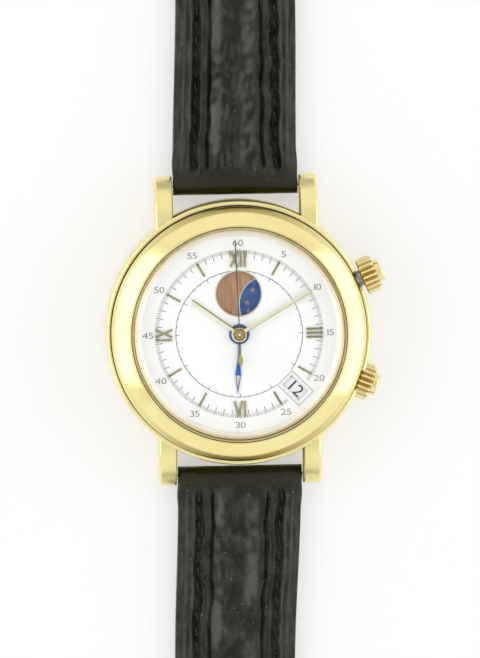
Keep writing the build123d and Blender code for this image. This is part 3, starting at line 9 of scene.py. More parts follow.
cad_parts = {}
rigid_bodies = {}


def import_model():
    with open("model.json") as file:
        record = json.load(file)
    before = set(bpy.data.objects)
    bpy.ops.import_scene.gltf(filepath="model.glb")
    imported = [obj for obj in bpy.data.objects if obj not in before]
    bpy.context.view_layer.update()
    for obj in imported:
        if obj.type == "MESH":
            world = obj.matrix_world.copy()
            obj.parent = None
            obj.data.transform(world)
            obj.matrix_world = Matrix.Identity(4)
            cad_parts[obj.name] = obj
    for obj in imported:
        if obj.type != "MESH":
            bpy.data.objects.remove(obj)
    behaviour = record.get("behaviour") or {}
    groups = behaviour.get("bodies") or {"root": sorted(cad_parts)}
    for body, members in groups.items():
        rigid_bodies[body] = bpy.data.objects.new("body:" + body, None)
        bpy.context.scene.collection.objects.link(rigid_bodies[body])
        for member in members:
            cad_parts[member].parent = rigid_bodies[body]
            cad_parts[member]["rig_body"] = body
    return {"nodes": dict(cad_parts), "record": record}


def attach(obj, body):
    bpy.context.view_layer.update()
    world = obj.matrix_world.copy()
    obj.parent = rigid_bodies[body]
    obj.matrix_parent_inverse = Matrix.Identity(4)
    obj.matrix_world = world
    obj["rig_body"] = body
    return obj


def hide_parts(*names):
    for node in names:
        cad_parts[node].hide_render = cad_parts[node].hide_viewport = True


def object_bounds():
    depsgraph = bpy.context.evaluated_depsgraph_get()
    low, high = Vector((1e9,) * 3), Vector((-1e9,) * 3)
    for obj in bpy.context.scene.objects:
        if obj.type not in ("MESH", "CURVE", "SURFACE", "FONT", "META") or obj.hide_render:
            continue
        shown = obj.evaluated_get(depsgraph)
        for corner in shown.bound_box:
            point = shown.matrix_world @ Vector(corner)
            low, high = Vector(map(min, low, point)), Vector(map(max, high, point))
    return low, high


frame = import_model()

cad_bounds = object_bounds()
nodes = frame["nodes"]
mm = 0.001
scene = bpy.context.scene
scene.view_settings.view_transform = "Standard"


# Camera: it hangs over the dial with a long lens, leaning a little towards 12 o'clock and to the left.
# The watch lies about a degree round from upright in the picture, so the camera is rolled by that much.
picture_width, picture_height = 480, 658
pixels_per_mm = 7.0
hub_across, hub_down = 239.2, 333.9
hub_height = 8.9
lens_length = 280
lean_up = tan(radians(5.5))
lean_left = tan(radians(2.4))
roll = radians(0.93)

camera_data = bpy.data.cameras.new("camera")
camera_data.lens = lens_length
camera = bpy.data.objects.new("camera", camera_data)
scene.collection.objects.link(camera)
scene.camera = camera
backwards = Vector((-lean_left, lean_up, 1)).normalized()
upwards = Vector((sin(roll), cos(roll), 0))
upwards = (upwards - upwards.dot(backwards) * backwards).normalized()
sideways = upwards.cross(backwards)
off_side = (picture_width / 2 - hub_across) / pixels_per_mm * mm
off_up = (hub_down - picture_height / 2) / pixels_per_mm * mm
shown_height = picture_height / pixels_per_mm * mm
camera_distance = shown_height * lens_length / camera_data.sensor_width
aim = Vector((0, 0, hub_height * mm)) + sideways * off_side + upwards * off_up
camera_axes = Matrix((sideways, upwards, backwards)).transposed().to_4x4()
camera.matrix_world = Matrix.Translation(aim + backwards * camera_distance) @ camera_axes


# Studio: a white table under the watch and a pale sky. Low down beyond both ends of the strap the sky has a
# mid-grey band for polished gold to mirror, and two wide soft lamps lay bright strips along its sides.
sky_stops = ((0.0, 0.85), (0.07, 0.8), (0.12, 0.38), (0.22, 0.4), (0.35, 0.94), (0.88, 0.95), (0.99, 0.78))
sky_side_lift = 0.6
lamp_length, lamp_width = 0.74, 0.36
lamps = (("left_lamp", 1.0, (-0.52, 0.04, 0.37)), ("right_lamp", 0.94, (0.52, 0.0, 0.34)))
table_half, table_steps = 700.0, 9
table_glow = 0.5


def step(tree, kind, output, inputs, **settings):
    """The output of a new shader node; each input is a fixed value or the output of an earlier step."""
    made = tree.nodes.new(f"ShaderNode{kind}")
    for setting, value in settings.items():
        setattr(made, setting, value)
    for label, value in inputs.items():
        if isinstance(value, bpy.types.NodeSocket):
            tree.links.new(value, made.inputs[label])
        else:
            made.inputs[label].default_value = value
    return made.outputs[output]


def combine(tree, operation, *values):
    """One arithmetic operation on fixed values and outputs of earlier steps."""
    return step(tree, "Math", "Value", dict(enumerate(values)), operation=operation)


def rising(tree, value, start, end, low=0.0, high=1.0):
    """A number that goes from low to high while the value goes from start to end."""
    ends = {"Value": value, "From Min": start, "From Max": end, "To Min": low, "To Max": high}
    return step(tree, "MapRange", "Result", ends)


def ramp(tree, value, stops):
    """A colour that follows the value through stops of (value, colour), given in rising order."""
    output = step(tree, "ValToRGB", "Color", {"Fac": value})
    elements = output.node.color_ramp.elements
    for place, _ in stops[1:-1]:
        elements.new(place)
    for element, (place, colour) in zip(elements, stops):
        element.position = place
        element.color = (*colour, 1)
    return output


def socket(made, label):
    """An input of the finish's plain shader."""
    return made.node_tree.nodes["Principled BSDF"].inputs[label]


def new_finish(name, colour, roughness, metallic=0.0, **numbers):
    """A material on the plain shader; a number or colour that is the same all over sits on its own socket."""
    made = bpy.data.materials.new(name)
    made.use_nodes = True
    values = {"Base Color": (*colour, 1), "Roughness": roughness, "Metallic": metallic}
    for label, value in numbers.items():
        values[label.replace("_", " ").title().replace("Ior", "IOR")] = value
    for label, value in values.items():
        socket(made, label).default_value = value
    return made


def clouds(made, size, detail=2.0, stretch=(1, 1, 1)):
    """Noise in the piece's own coordinates: patches of about size millimetres, times stretch each way."""
    tree = made.node_tree
    place = step(tree, "TexCoord", "Object", {})
    scale = [1 / (size * mm * way) for way in stretch]
    scaled = step(tree, "Mapping", "Vector", {"Vector": place, "Scale": scale})
    return step(tree, "TexNoise", "Fac", {"Vector": scaled, "Scale": 1, "Detail": detail})


def spread(made, size, low, high, label="Base Color", start=0.3, end=0.7, **look):
    """Lets a colour or number of the finish wander from low to high; size and look as in clouds."""
    tree = made.node_tree
    noise = clouds(made, size, **look)
    if isinstance(low, tuple):
        result = ramp(tree, noise, ((start, low), (end, high)))
    else:
        result = rising(tree, noise, start, end, low, high)
    tree.links.new(result, socket(made, label))


def mottled(name, low, high, size, roughness, metallic=0.0, detail=2.0, stretch=(1, 1, 1), **numbers):
    """A finish whose colour wanders from low to high in patches; size, detail and stretch as in clouds."""
    middle = [(dark + light) / 2 for dark, light in zip(low, high)]
    made = new_finish(name, middle, roughness, metallic, **numbers)
    spread(made, size, low, high, detail=detail, stretch=stretch)
    return made


def for_rays(made, *kinds):
    """A share that is one for rays of these kinds and zero for all others."""
    tree = made.node_tree
    share = 0
    for kind in kinds:
        share = combine(tree, "MAXIMUM", share, step(tree, "LightPath", f"Is {kind} Ray", {}))
    return share


def overlaid(made, share, shader):
    """Lays another shader over the finish by a share from 0 to 1."""
    tree = made.node_tree
    plain = tree.nodes["Principled BSDF"].outputs["BSDF"]
    both = step(tree, "MixShader", "Shader", {"Fac": share, 1: plain, 2: shader})
    tree.links.new(both, tree.nodes["Material Output"].inputs["Surface"])


def raw_mesh(name, corners, faces):
    """A mesh from corners in millimetres and the corner numbers of its faces."""
    mesh = bpy.data.meshes.new(name)
    mesh.from_pydata((np.reshape(corners, (-1, 3)) * mm).tolist(), [], faces)
    return mesh


def surface(name, points, wrap_rows=False, wrap_columns=False, capped=False, crease=35):
    """A mesh of quads through a grid of points (rows, columns, xyz) in millimetres.

    A wrapped side runs back to its start, and capped closes the first and last row. Points on one spot are
    joined, edges bent by more than crease degrees stay sharp, and where the enclosed volume, the sum of
    a . (b x c) / 6 over the triangles, is below zero the faces are turned over."""
    rows, columns = points.shape[:2]
    order = np.arange(rows * columns).reshape(rows, columns)
    ends = [order[0].tolist(), order[-1][::-1].tolist()] if capped else []
    if wrap_rows:
        order = np.vstack([order, order[:1]])
    if wrap_columns:
        order = np.hstack([order, order[:, :1]])
    corners = [order[:-1, :-1], order[1:, :-1], order[1:, 1:], order[:-1, 1:]]
    quads = np.stack(corners, axis=-1).reshape(-1, 4).tolist()
    return closed(raw_mesh(name, points, quads + ends), crease)


def closed(mesh, crease):
    """Joins points on one spot, turns the faces outwards and keeps the edges sharper than crease degrees."""
    joined = bmesh.new()
    joined.from_mesh(mesh)
    bmesh.ops.remove_doubles(joined, verts=joined.verts, dist=mm * mm)
    if joined.calc_volume(signed=True) < 0:
        bmesh.ops.reverse_faces(joined, faces=joined.faces)
    joined.to_mesh(mesh)
    joined.free()
    mesh.shade_smooth()
    mesh.set_sharp_from_angle(angle=radians(crease))
    return mesh


sky = bpy.data.worlds.new("sky")
scene.world = sky
sky.use_nodes = True
sky_tree = sky.node_tree
direction = step(sky_tree, "TexCoord", "Generated", {})
aside, up = (step(sky_tree, "SeparateXYZ", axis, {"Vector": direction}) for axis in "XZ")
climb = combine(sky_tree, "MULTIPLY_ADD", combine(sky_tree, "ABSOLUTE", aside), sky_side_lift, up)
sky_light = ramp(sky_tree, climb, [(height, (light, light, light)) for height, light in sky_stops])
sky_tree.links.new(sky_light, sky_tree.nodes["Background"].inputs["Color"])

for label, power, spot in lamps:
    lamp_data = bpy.data.lights.new(label, "AREA")
    lamp_data.shape = "RECTANGLE"
    lamp_data.size, lamp_data.size_y = lamp_length, lamp_width
    lamp_data.energy = power
    lamp = bpy.data.objects.new(label, lamp_data)
    lamp.location = spot
    lamp.rotation_mode = "QUATERNION"
    lamp.rotation_quaternion = Vector(spot).to_track_quat("Z", "Y")
    scene.collection.objects.link(lamp)

table_white = mottled("table_white", (0.94, 0.94, 0.93), (0.96, 0.96, 0.955), 40, 0.6)
table_tree = table_white.node_tree
table_seen = for_rays(table_white, "Camera", "Glossy", "Transmission")
glow_share = combine(table_tree, "MULTIPLY", table_seen, table_glow)
overlaid(table_white, glow_share, step(table_tree, "Emission", "Emission", {}))
table_side = np.linspace(-table_half, table_half, table_steps)
table_x, table_y = np.meshgrid(table_side, table_side, indexing="ij")
table_points = np.stack([table_x, table_y, np.full_like(table_x, cad_bounds[0].z / mm)], axis=-1)
table = bpy.data.objects.new("table", surface("table", table_points))
table.data.materials.append(table_white)
scene.collection.objects.link(table)


# Case back and its fixings: a turned steel disc held by six slotted screws, with a rubber ring in its groove.
# Steel is brushed round and the screws are turned and a little brighter.
def relief(made, size, depth, **look):
    """Adds small bumps, depth millimetres deep; size and look as in clouds."""
    tree = made.node_tree
    normal = socket(made, "Normal")
    bumps = {"Height": clouds(made, size, **look), "Distance": depth * mm}
    if normal.is_linked:
        bumps["Normal"] = normal.links[0].from_socket
    tree.links.new(step(tree, "Bump", "Normal", bumps), normal)


def coated(mesh, finish):
    """Gives a mesh one finish all over."""
    mesh.materials.clear()
    mesh.materials.append(finish)


def dressed(finish, *names):
    """Gives machined nodes that show as they are their finish."""
    for name in names:
        coated(nodes[name].data, finish)


def piece(mesh, finish, body, slot, *stands_for):
    """A mesh as a piece in its finish: it rides on a body and may stand for machined nodes."""
    made = bpy.data.objects.new(mesh.name, mesh)
    scene.collection.objects.link(made)
    coated(mesh, finish)
    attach(made, body)
    if stands_for:
        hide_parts(*stands_for)
    return made


def smoothed(node, finish, crease=28):
    """A copy of a machined node with its triangles joined, smooth but for its real edges."""
    mesh = nodes[node].data.copy()
    mesh.name = f"{node}_smooth"
    mesh.attributes.remove(mesh.attributes["custom_normal"])
    closed(mesh, crease)
    slot = next(part["material_slot"] for part in frame["record"]["subparts"] if part["node"] == node)
    made = piece(mesh, finish, nodes[node]["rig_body"], slot, node)
    flats = made.modifiers.new("flats", "WEIGHTED_NORMAL")
    flats.keep_sharp = True


back_steel = mottled("back_steel", (0.64, 0.64, 0.63), (0.76, 0.76, 0.75), 9, 0.25, metallic=1.0)
spread(back_steel, 1.5, 0.2, 0.36, "Roughness", stretch=(6, 0.15, 1))
relief(back_steel, 0.12, 0.003, stretch=(14, 0.3, 1))
smoothed("case_back", back_steel)

# Painted shade: the crown tubes get a darker copy of the steel, standing for the shade under the crowns.
shaded_tube_steel = mottled("shaded_tube_steel", (0.2, 0.19, 0.15), (0.4, 0.39, 0.35), 0.9, 0.22, metallic=1.0)
spread(shaded_tube_steel, 0.5, 0.15, 0.35, "Roughness")
smoothed("crown_tubes", shaded_tube_steel)

turned_steel = mottled("turned_steel", (0.55, 0.55, 0.54), (0.68, 0.68, 0.66), 2, 0.22, metallic=1.0)
spread(turned_steel, 0.4, 0.15, 0.32, "Roughness")
bar_tips = [f"{end}_bar_{side}_tip" for end in ("upper", "lower") for side in ("left", "right")]
for steel_piece in (*bar_tips, "alarm_stem", "time_stem", "spring_bars", "case_back_screws"):
    smoothed(steel_piece, turned_steel)

seal_rubber = new_finish("seal_rubber", (0.02, 0.02, 0.02), 0.7)
spread(seal_rubber, 0.5, 0.6, 0.85, "Roughness")
dressed(seal_rubber, "case_back_gasket")


# Movement: an automatic calibre with an alarm, its plates rhodium plated, its wheels gilt, its jewels ruby.
# A ring holds it between the dial and the case back.
plate_metal = new_finish("plate_metal", (0.72, 0.71, 0.68), 0.3, metallic=1.0)
spread(plate_metal, 0.8, 0.22, 0.4, "Roughness", stretch=(8, 0.5, 1))
relief(plate_metal, 0.8, 0.01, stretch=(30, 1, 1))
dressed(plate_metal, "main_plate", "barrel_bridge", "train_bridge", "balance_cock", "calendar_plate")
dressed(plate_metal, "movement_ring", "rotor")

gilt = mottled("gilt", (0.8, 0.6, 0.26), (0.88, 0.7, 0.34), 3, 0.25, metallic=1.0)
spread(gilt, 0.3, 0.18, 0.34, "Roughness")
dressed(gilt, "going_barrel", "alarm_barrel", "centre_wheel", "third_wheel", "fourth_wheel", "escape_wheel")
dressed(gilt, "balance_wheel", "cannon_pinion", "hour_wheel", "alarm_wheel")

grey_steel = new_finish("grey_steel", (0.5, 0.5, 0.52), 0.3, metallic=1.0)
spread(grey_steel, 0.3, 0.22, 0.4, "Roughness")
dressed(grey_steel, "alarm_sliding_pinion", "time_sliding_pinion", "alarm_hammer", "pallet_fork")
dressed(grey_steel, "hairspring", "minute_wheel", "bridge_screws")

ruby = mottled("ruby", (0.6, 0.01, 0.07), (0.8, 0.04, 0.14), 0.3, 0.1, Transmission_Weight=0.4, Ior=1.77)
dressed(ruby, "movement_jewels")


# Case middle with its four straight lugs: one forging, gold plated and polished all over, the plating a pale
# lemon gold with hairline scratches. Painted shade lies on the case side between the lugs, dull and dark
# brown. The crowns sit in pockets in its side.
gold_pale = (0.99, 0.89, 0.44)
gold_deep = (0.93, 0.8, 0.35)
painted_shade_brown = (0.045, 0.03, 0.008)
between_lugs = (("X", 9.35, 9.05), ("Y", 13.5, 16.0), ("Z", 7.65, 7.15), ("Z", 3.2, 6.6))


def gold(name, pale, deep, smooth, rough):
    """Polished plating: hairlines change its gloss, wide soft patches its colour."""
    made = mottled(name, deep, pale, 6, smooth, metallic=1.0)
    spread(made, 0.7, smooth, rough, "Roughness", detail=4, stretch=(1, 5, 1))
    relief(made, 0.25, 0.0006, detail=3, stretch=(1, 9, 1))
    return made


def within(made, ranges):
    """A share: the product of ramps along |x|, |y| or |z|, each from start to end in millimetres."""
    tree = made.node_tree
    place = step(tree, "TexCoord", "Object", {})
    share = 1
    for axis, start, end in ranges:
        away = combine(tree, "ABSOLUTE", step(tree, "SeparateXYZ", axis, {"Vector": place}))
        share = combine(tree, "MULTIPLY", share, rising(tree, away, start * mm, end * mm))
    return share


def toned(made, share, colour):
    """Carries the finish over to another colour by a share from 0 to 1."""
    tree = made.node_tree
    base = socket(made, "Base Color")
    mixed = {"A": base.links[0].from_socket, "B": (*colour, 1), "Factor": share}
    tree.links.new(step(tree, "Mix", "Result", mixed, data_type="RGBA"), base)


def roughened(made, share):
    """Adds a share from 0 to 1 to the finish's roughness, up to 1."""
    roughness = socket(made, "Roughness")
    total = combine(made.node_tree, "ADD", roughness.links[0].from_socket, share)
    total.node.use_clamp = True
    made.node_tree.links.new(total, roughness)


def dulled(made, share):
    """Takes a metal's shine away by a share from 0 to 1: metallic is 1 - share, and roughness grows by it."""
    shine = combine(made.node_tree, "SUBTRACT", 1, share)
    made.node_tree.links.new(shine, socket(made, "Metallic"))
    roughened(made, share)


case_gold = gold("case_gold", gold_pale, gold_deep, 0.2, 0.28)
# Painted shade: the case side between the lugs is made dark brown and dull, fading out downwards.
painted_shade_share = within(case_gold, between_lugs)
toned(case_gold, painted_shade_share, painted_shade_brown)
dulled(case_gold, painted_shade_share)
smoothed("case_middle", case_gold)


# Bezel: a ring of the same gold, turned with an upright wall, a rounded shoulder and a long slope up to a
# small lip round the crystal. It is pressed on the case middle, and a thin dark ring in the gap is painted
# shadow. Its shoulder carries a painted dark reflection towards both ends of the strap. Its face is bare.
def rounded(corners, steps=7):
    """A closed outline through corners (x, y, cut), each rounded by a curve between points cut away from it.

    The curve from A to B round corner C is (1-t)^2 A + 2t(1-t) C + t^2 B."""
    corners = np.array(corners, float)
    spot, cut = corners[:, None, :2], corners[:, None, 2:]
    before = np.roll(spot, 1, axis=0) - spot
    after = np.roll(spot, -1, axis=0) - spot
    start = spot + before / np.linalg.norm(before, axis=2, keepdims=True) * cut
    end = spot + after / np.linalg.norm(after, axis=2, keepdims=True) * cut
    t = np.linspace(0, 1, steps)[None, :, None]
    return ((1 - t) ** 2 * start + 2 * t * (1 - t) * spot + t**2 * end).reshape(-1, 2)


def turned(name, outline, steps=256, crease=35, ring=True):
    """The outline of (radius, height) carried round the hand axis: (r cos a, r sin a, z).

    A ring's outline closes on itself, and any other runs from axis to axis."""
    angle = np.linspace(0, 2 * pi, steps, endpoint=False)[:, None]
    radius, height = outline[None, :, 0], outline[None, :, 1]
    points = np.stack([radius * np.cos(angle), radius * np.sin(angle), height + 0 * angle], axis=-1)
    return surface(name, points, wrap_rows=True, wrap_columns=ring, crease=crease)


bezel_foot, bezel_lip_top = 7.9, 10.95
bezel_outer, bezel_inner = 18.25, 15.4
slope_steps = 15


def bezel_outline():
    """Foot, wall, a cubic curve over the shoulder, a slope with a shallow bow added, then the lip."""
    wall_top, shoulder, slope_foot = 9.0, 17.45, 9.95
    lip, lip_edge, bow = 15.65, 10.83, 0.035
    t = np.linspace(0, 1, slope_steps)[:, None]
    wall, above = np.array([bezel_outer, wall_top]), np.array([bezel_outer, wall_top + 0.4])
    leaning, start = np.array([shoulder + 0.5, wall_top + 0.67]), np.array([shoulder, slope_foot])
    curve = (1 - t) ** 3 * wall + 3 * t * (1 - t) ** 2 * above + 3 * t**2 * (1 - t) * leaning + t**3 * start
    slope = start + (np.array([lip, bezel_lip_top]) - start) * t
    slope[:, 1:] += 4 * bow * t * (1 - t)
    feet = [[bezel_outer - 0.06, bezel_foot], [bezel_outer, bezel_foot + 0.06]]
    lips = [
        [lip - 0.08, bezel_lip_top - 0.01], [bezel_inner + 0.05, lip_edge + 0.03],
        [bezel_inner, lip_edge - 0.03], [bezel_inner, bezel_foot],
    ]
    return np.vstack([feet, curve, slope[1:], lips])


def smooth_step(value, start, end):
    """Runs from 0 at start to 1 at end as 3t^2 - 2t^3."""
    t = np.clip((value - start) / (end - start), 0, 1)
    return t * t * (3 - 2 * t)


def attribute(made, name):
    """A share that the mesh keeps as a point attribute."""
    return step(made.node_tree, "Attribute", "Fac", {}, attribute_name=name)


def mark(mesh, name, measure):
    """Keeps measure(x, y, z), worked out for all points at once in millimetres, as a point attribute."""
    spots = np.empty(len(mesh.vertices) * 3)
    mesh.vertices.foreach_get("co", spots)
    kept = mesh.attributes.new(name, "FLOAT", "POINT")
    kept.data.foreach_set("value", np.clip(measure(*(spots.reshape(-1, 3).T / mm)), 0, 1))


def tinted(made, mesh, name, colour, measure):
    """Carries the finish over to another colour as far as measure says; see mark."""
    mark(mesh, name, measure)
    toned(made, attribute(made, name), colour)


def worn_shoulder(x, y, z):
    """A painted dark reflection on the shoulder, towards both ends of the strap, stronger at 6 than at 12."""
    r = np.hypot(x, y)
    return smooth_step(r, 17.38, 17.62) * np.abs(y / r) ** 4 * np.where(y < 0, 0.92, 0.75)


bezel_gold = gold("bezel_gold", gold_pale, gold_deep, 0.1, 0.18)
bezel_ring = turned("bezel_ring", bezel_outline())
# Painted reflection: the shoulder is coloured dark brown where it would mirror the strap.
tinted(bezel_gold, bezel_ring, "shoulder", (0.3, 0.2, 0.04), worn_shoulder)
piece(bezel_ring, bezel_gold, "watch", "gold_plate", "bezel")

# Painted shadow: a thin dark brown ring laid on the case top in the gap at the bezel's foot.
gap_shadow_paint = mottled("gap_shadow_paint", (0.03, 0.024, 0.008), (0.09, 0.07, 0.02), 1.5, 0.6)
gap_outline = rounded([(18.2, 7.88, 0.01), (18.43, 7.88, 0.01), (18.43, 7.93, 0.02), (18.2, 7.93, 0.01)], 3)
piece(turned("bezel_gap_shadow", gap_outline), gap_shadow_paint, "watch", "gold_plate")


# Crystal, its gasket and the sloped inner ring: mineral glass with a bevelled edge, a brown plastic ring that
# holds it, and under it a pale gilt ring that slopes from the crystal down to the dial's edge.
crystal_low, crystal_radius = 10.25, 15.1
clearness = {"Transmission_Weight": 1.0, "Ior": 1.2}
clear_glass = mottled("clear_glass", (0.98, 0.985, 0.98), (1.0, 1.0, 1.0), 8, 0.0, **clearness)
open_air = step(clear_glass.node_tree, "BsdfTransparent", "BSDF", {})
overlaid(clear_glass, for_rays(clear_glass, "Shadow", "Diffuse"), open_air)


def crystal_outline():
    """Flat underside, upright edge, bevel and a dome z = top - rise (r / bevel)^2."""
    bevel, bevel_top, edge_top, rise = 14.8, 11.33, 11.15, 0.25
    r = np.linspace(bevel, 0, 16)
    dome = np.stack([r, bevel_top + rise * (1 - (r / bevel) ** 2)], axis=-1)
    underside = [[r, crystal_low] for r in (0, 5, 10, 14.5, crystal_radius - 0.05)]
    edge = [[crystal_radius, z] for z in (crystal_low + 0.05, edge_top - 0.03)]
    edge.append([crystal_radius - 0.03, edge_top])
    return np.vstack([underside, edge, dome])


crystal_glass = turned("crystal_glass", crystal_outline(), 192, 15, ring=False)
piece(crystal_glass, clear_glass, "watch", "crystal_glass", "crystal")

ring_brown = mottled("ring_brown", (0.5, 0.4, 0.17), (0.7, 0.57, 0.28), 3, 0.35)
gasket_corners = [(15.1, 10.25, 0.04), (15.4, 10.25, 0.04), (15.4, 10.83, 0.06), (15.1, 10.83, 0.06)]
gasket_ring = turned("gasket_ring", rounded(gasket_corners, 4), 128)
tinted(
    ring_brown, gasket_ring, "outer", (0.06, 0.045, 0.012),
    lambda x, y, z: smooth_step(np.hypot(x, y), 15.3, 15.38),
)
piece(gasket_ring, ring_brown, "watch", "gasket", "crystal_gasket")

ring_gilt = gold("ring_gilt", (0.98, 0.95, 0.88), (0.96, 0.92, 0.82), 0.38, 0.5)
inner_ring = turned("inner_ring", rounded([
    (14.0, 8.9, 0.02), (15.35, 8.9, 0.03), (15.35, 10.25, 0.04), (14.8, 10.25, 0.06), (14.72, 9.85, 0.05),
    (14.55, 9.8, 0.05), (14.45, 9.4, 0.06), (14.25, 9.34, 0.05), (14.15, 9.02, 0.05), (14.02, 8.98, 0.02),
], 5))
tinted(ring_gilt, inner_ring, "rim", (0.84, 0.74, 0.46), lambda x, y, z: (np.hypot(x, y) - 14.5) / 0.15 * 0.7)
piece(inner_ring, ring_gilt, "watch", "inner_ring", "rehaut_ring")


# Dial, date ring and moon disc: brass discs, the dial and date ring lacquered white, the moon disc coppered.
# The dial's print is a thin raised film of grey ink, and its inner circle's of blue ink.
dial_top, disc_top, film = 8.9, 8.2, 0.02
date_turn, date_half = -45, 9.5
minute_inner, fifth_inner, track_outer = 11.0, 11.5, 12.05
minute_width, fifth_width = 0.1, 0.06
circle_steps, circle_inner, circle_outer = 720, 9.0, 9.1
mark_inner, mark_width, hour_inner, hour_width = 8.78, 0.07, 8.5, 0.09

dial_white = mottled("dial_white", (0.96, 0.96, 0.955), (0.98, 0.98, 0.975), 5, 0.45, Coat_Weight=0.15)
relief(dial_white, 0.15, 0.0008)
dressed(dial_white, "dial")
date_white = mottled("date_white", (0.95, 0.95, 0.945), (0.97, 0.97, 0.965), 3, 0.5)
dressed(date_white, "date_ring")
copper_streaks = {"detail": 5, "stretch": (1, 9, 1)}
moon_copper = mottled("moon_copper", (0.36, 0.19, 0.1), (0.53, 0.33, 0.2), 0.4, 0.4, 0.3, **copper_streaks)
dressed(moon_copper, "moon_disc")
ink_grey = mottled("ink_grey", (0.12, 0.12, 0.13), (0.22, 0.22, 0.225), 1, 0.5)
blue_ink = mottled("blue_ink", (0.14, 0.18, 0.28), (0.2, 0.24, 0.34), 1, 0.5)


def swung(x, y, turn):
    """Flat coordinates turned by an angle in degrees: (x cos a - y sin a, x sin a + y cos a)."""
    c, s = np.cos(np.radians(turn)), np.sin(np.radians(turn))
    return x * c - y * s, x * s + y * c


def lifted(flat, height):
    """Flat points (..., xy) at one height."""
    return np.concatenate([flat, np.full((*flat.shape[:-1], 1), height)], axis=-1)


def prisms(name, outlines, low, high):
    """Upright solids as one mesh, one over each flat outline; outlines is (outline, corner, xy)."""
    count, size = outlines.shape[:2]
    levels = [lifted(outlines, z) for z in (low, high)]
    faces = [list(range(size))[::-1], list(range(size, 2 * size))]
    faces += [[i, (i + 1) % size, (i + 1) % size + size, i + size] for i in range(size)]
    faces = [[corner + 2 * size * item for corner in face] for item in range(count) for face in faces]
    return raw_mesh(name, np.concatenate(levels, axis=1), faces)


def bars(name, groups, end, finish):
    """Printed bars along the radius: groups of (turns in degrees, start, width) that reach one end circle."""
    turn = np.concatenate([turns for turns, _, _ in groups])
    start, width = np.vstack([np.tile(sizes, (len(turns), 1)) for turns, *sizes in groups]).T
    along = np.stack([start, 0 * start + end, 0 * start + end, start], axis=1)
    across = np.stack([-width, -width, width, width], axis=1) / 2
    outlines = np.stack(swung(along, across, turn[:, None]), axis=-1)
    piece(prisms(name, outlines, dial_top, dial_top + film), finish, "watch", "dial_white")


def spared(turns, *gaps):
    """Those of the angles in degrees that lie outside all gaps (middle, half) on the circle."""
    for middle, half in gaps:
        turns = turns[np.abs((turns - middle + 180) % 360 - 180) > half]
    return turns


date_gap = (date_turn, date_half)
fifths = np.arange(300) * 1.2 + 90
fifths = spared(fifths[np.arange(300) % 5 != 0], date_gap)
minutes = spared(np.arange(60) * 6.0 + 90, date_gap)
track = [(fifths, fifth_inner, fifth_width), (minutes, minute_inner, minute_width)]
bars("minute_track", track, track_outer, ink_grey)

arcs = spared((np.arange(circle_steps) + 0.5) * 360 / circle_steps, date_gap, (90, 7))
marks = spared(np.arange(48) * 7.5, date_gap, (90, 8))
hour_marks = marks[marks % 30 == 0]
arc_length = 2 * pi * circle_outer / circle_steps * 1.02
circle = [(arcs, circle_inner, arc_length), (marks, mark_inner, mark_width)]
bars("inner_circle", [*circle, (hour_marks, hour_inner, hour_width)], circle_outer, blue_ink)


# Printed numbers: the minutes round the dial, upright, and the days on the date ring, each reading outwards.
# The digits are plain and generic, laid as a thin film.
def digit_shape(digit):
    """A digit's flat outline as a thin solid, its corners scaled to one wide and one tall."""
    words = bpy.data.curves.new("digit", "FONT")
    words.body = digit
    words.resolution_u = 3
    words.extrude = 0.5
    shown = bpy.data.objects.new("digit", words)
    scene.collection.objects.link(shown)
    bpy.context.view_layer.update()
    mesh = bpy.data.meshes.new_from_object(shown)
    bpy.data.objects.remove(shown)
    corners = np.array([v.co for v in mesh.vertices])
    faces = [list(face.vertices) for face in mesh.polygons]
    bpy.data.meshes.remove(mesh)
    low, high = corners.min(axis=0), corners.max(axis=0)
    return (corners - low) / (high - low), faces, (high[0] - low[0]) / (high[1] - low[1])


digits = {digit: digit_shape(digit) for digit in "0123456789"}


def printed(name, entries, low, radius, height, widening, gap):
    """Numbers round a circle as one mesh: an entry is (text, angle of its place, turn of its line)."""
    corners, faces, count = [], [], 0
    for text, place, turn in entries:
        x, y = swung(radius, 0, place)
        widths = [digits[letter][2] * height * widening for letter in text]
        pen = -(sum(widths) + gap * (len(text) - 1)) / 2
        for letter, width in zip(text, widths):
            shape, sides, _ = digits[letter]
            across, upward = swung(shape[:, 0] * width + pen, (shape[:, 1] - 0.5) * height, turn)
            corners.append(np.column_stack([x + across, y + upward, low + shape[:, 2] * film]))
            faces += [[corner + count for corner in side] for side in sides]
            count += len(shape)
            pen += width + gap
    return closed(raw_mesh(name, np.vstack(corners), faces), 30)


minute_print = {"radius": 13.05, "height": 0.89, "widening": 1.32, "gap": 0.1}
minute_entries = [(str(5 * hour), 90 - 30 * hour, 0) for hour in range(1, 13)]
minute_numbers = printed("minute_numbers", minute_entries, dial_top, **minute_print)
ink_faint = mottled("ink_faint", (0.22, 0.22, 0.225), (0.4, 0.4, 0.405), 0.6, 0.5)
piece(minute_numbers, ink_faint, "watch", "dial_white")

days, day_shown = 31, 12
day_print = {"radius": 11.45, "height": 1.62, "widening": 1.12, "gap": 0.52}
day_turns = [date_turn + (day - day_shown) * 360 / days for day in range(1, days + 1)]
day_entries = [(str(day), turn, turn) for day, turn in enumerate(day_turns, 1)]
ink_black = mottled("ink_black", (0.025, 0.025, 0.028), (0.045, 0.045, 0.05), 1, 0.5)
piece(printed("day_numbers", day_entries, disc_top, **day_print), ink_black, "date_ring", "date_white")

window_radius, window_size, frame_line = 11.2, (4.34, 2.99), 0.07
frame_corners = np.array([(-1, -1), (1, -1), (1, 1), (-1, 1)]) / 2
frame_loops = []
for inset, z in ((0, dial_top), (0, dial_top + film), (frame_line, dial_top + film), (frame_line, dial_top)):
    flat = frame_corners * (np.array(window_size) - 2 * inset)
    corners = swung(flat[:, 0] + window_radius, flat[:, 1], date_turn)
    frame_loops.append(lifted(np.column_stack(corners), z))
date_frame = surface("date_frame", np.stack(frame_loops), wrap_rows=True, wrap_columns=True)
piece(date_frame, ink_grey, "watch", "dial_white")


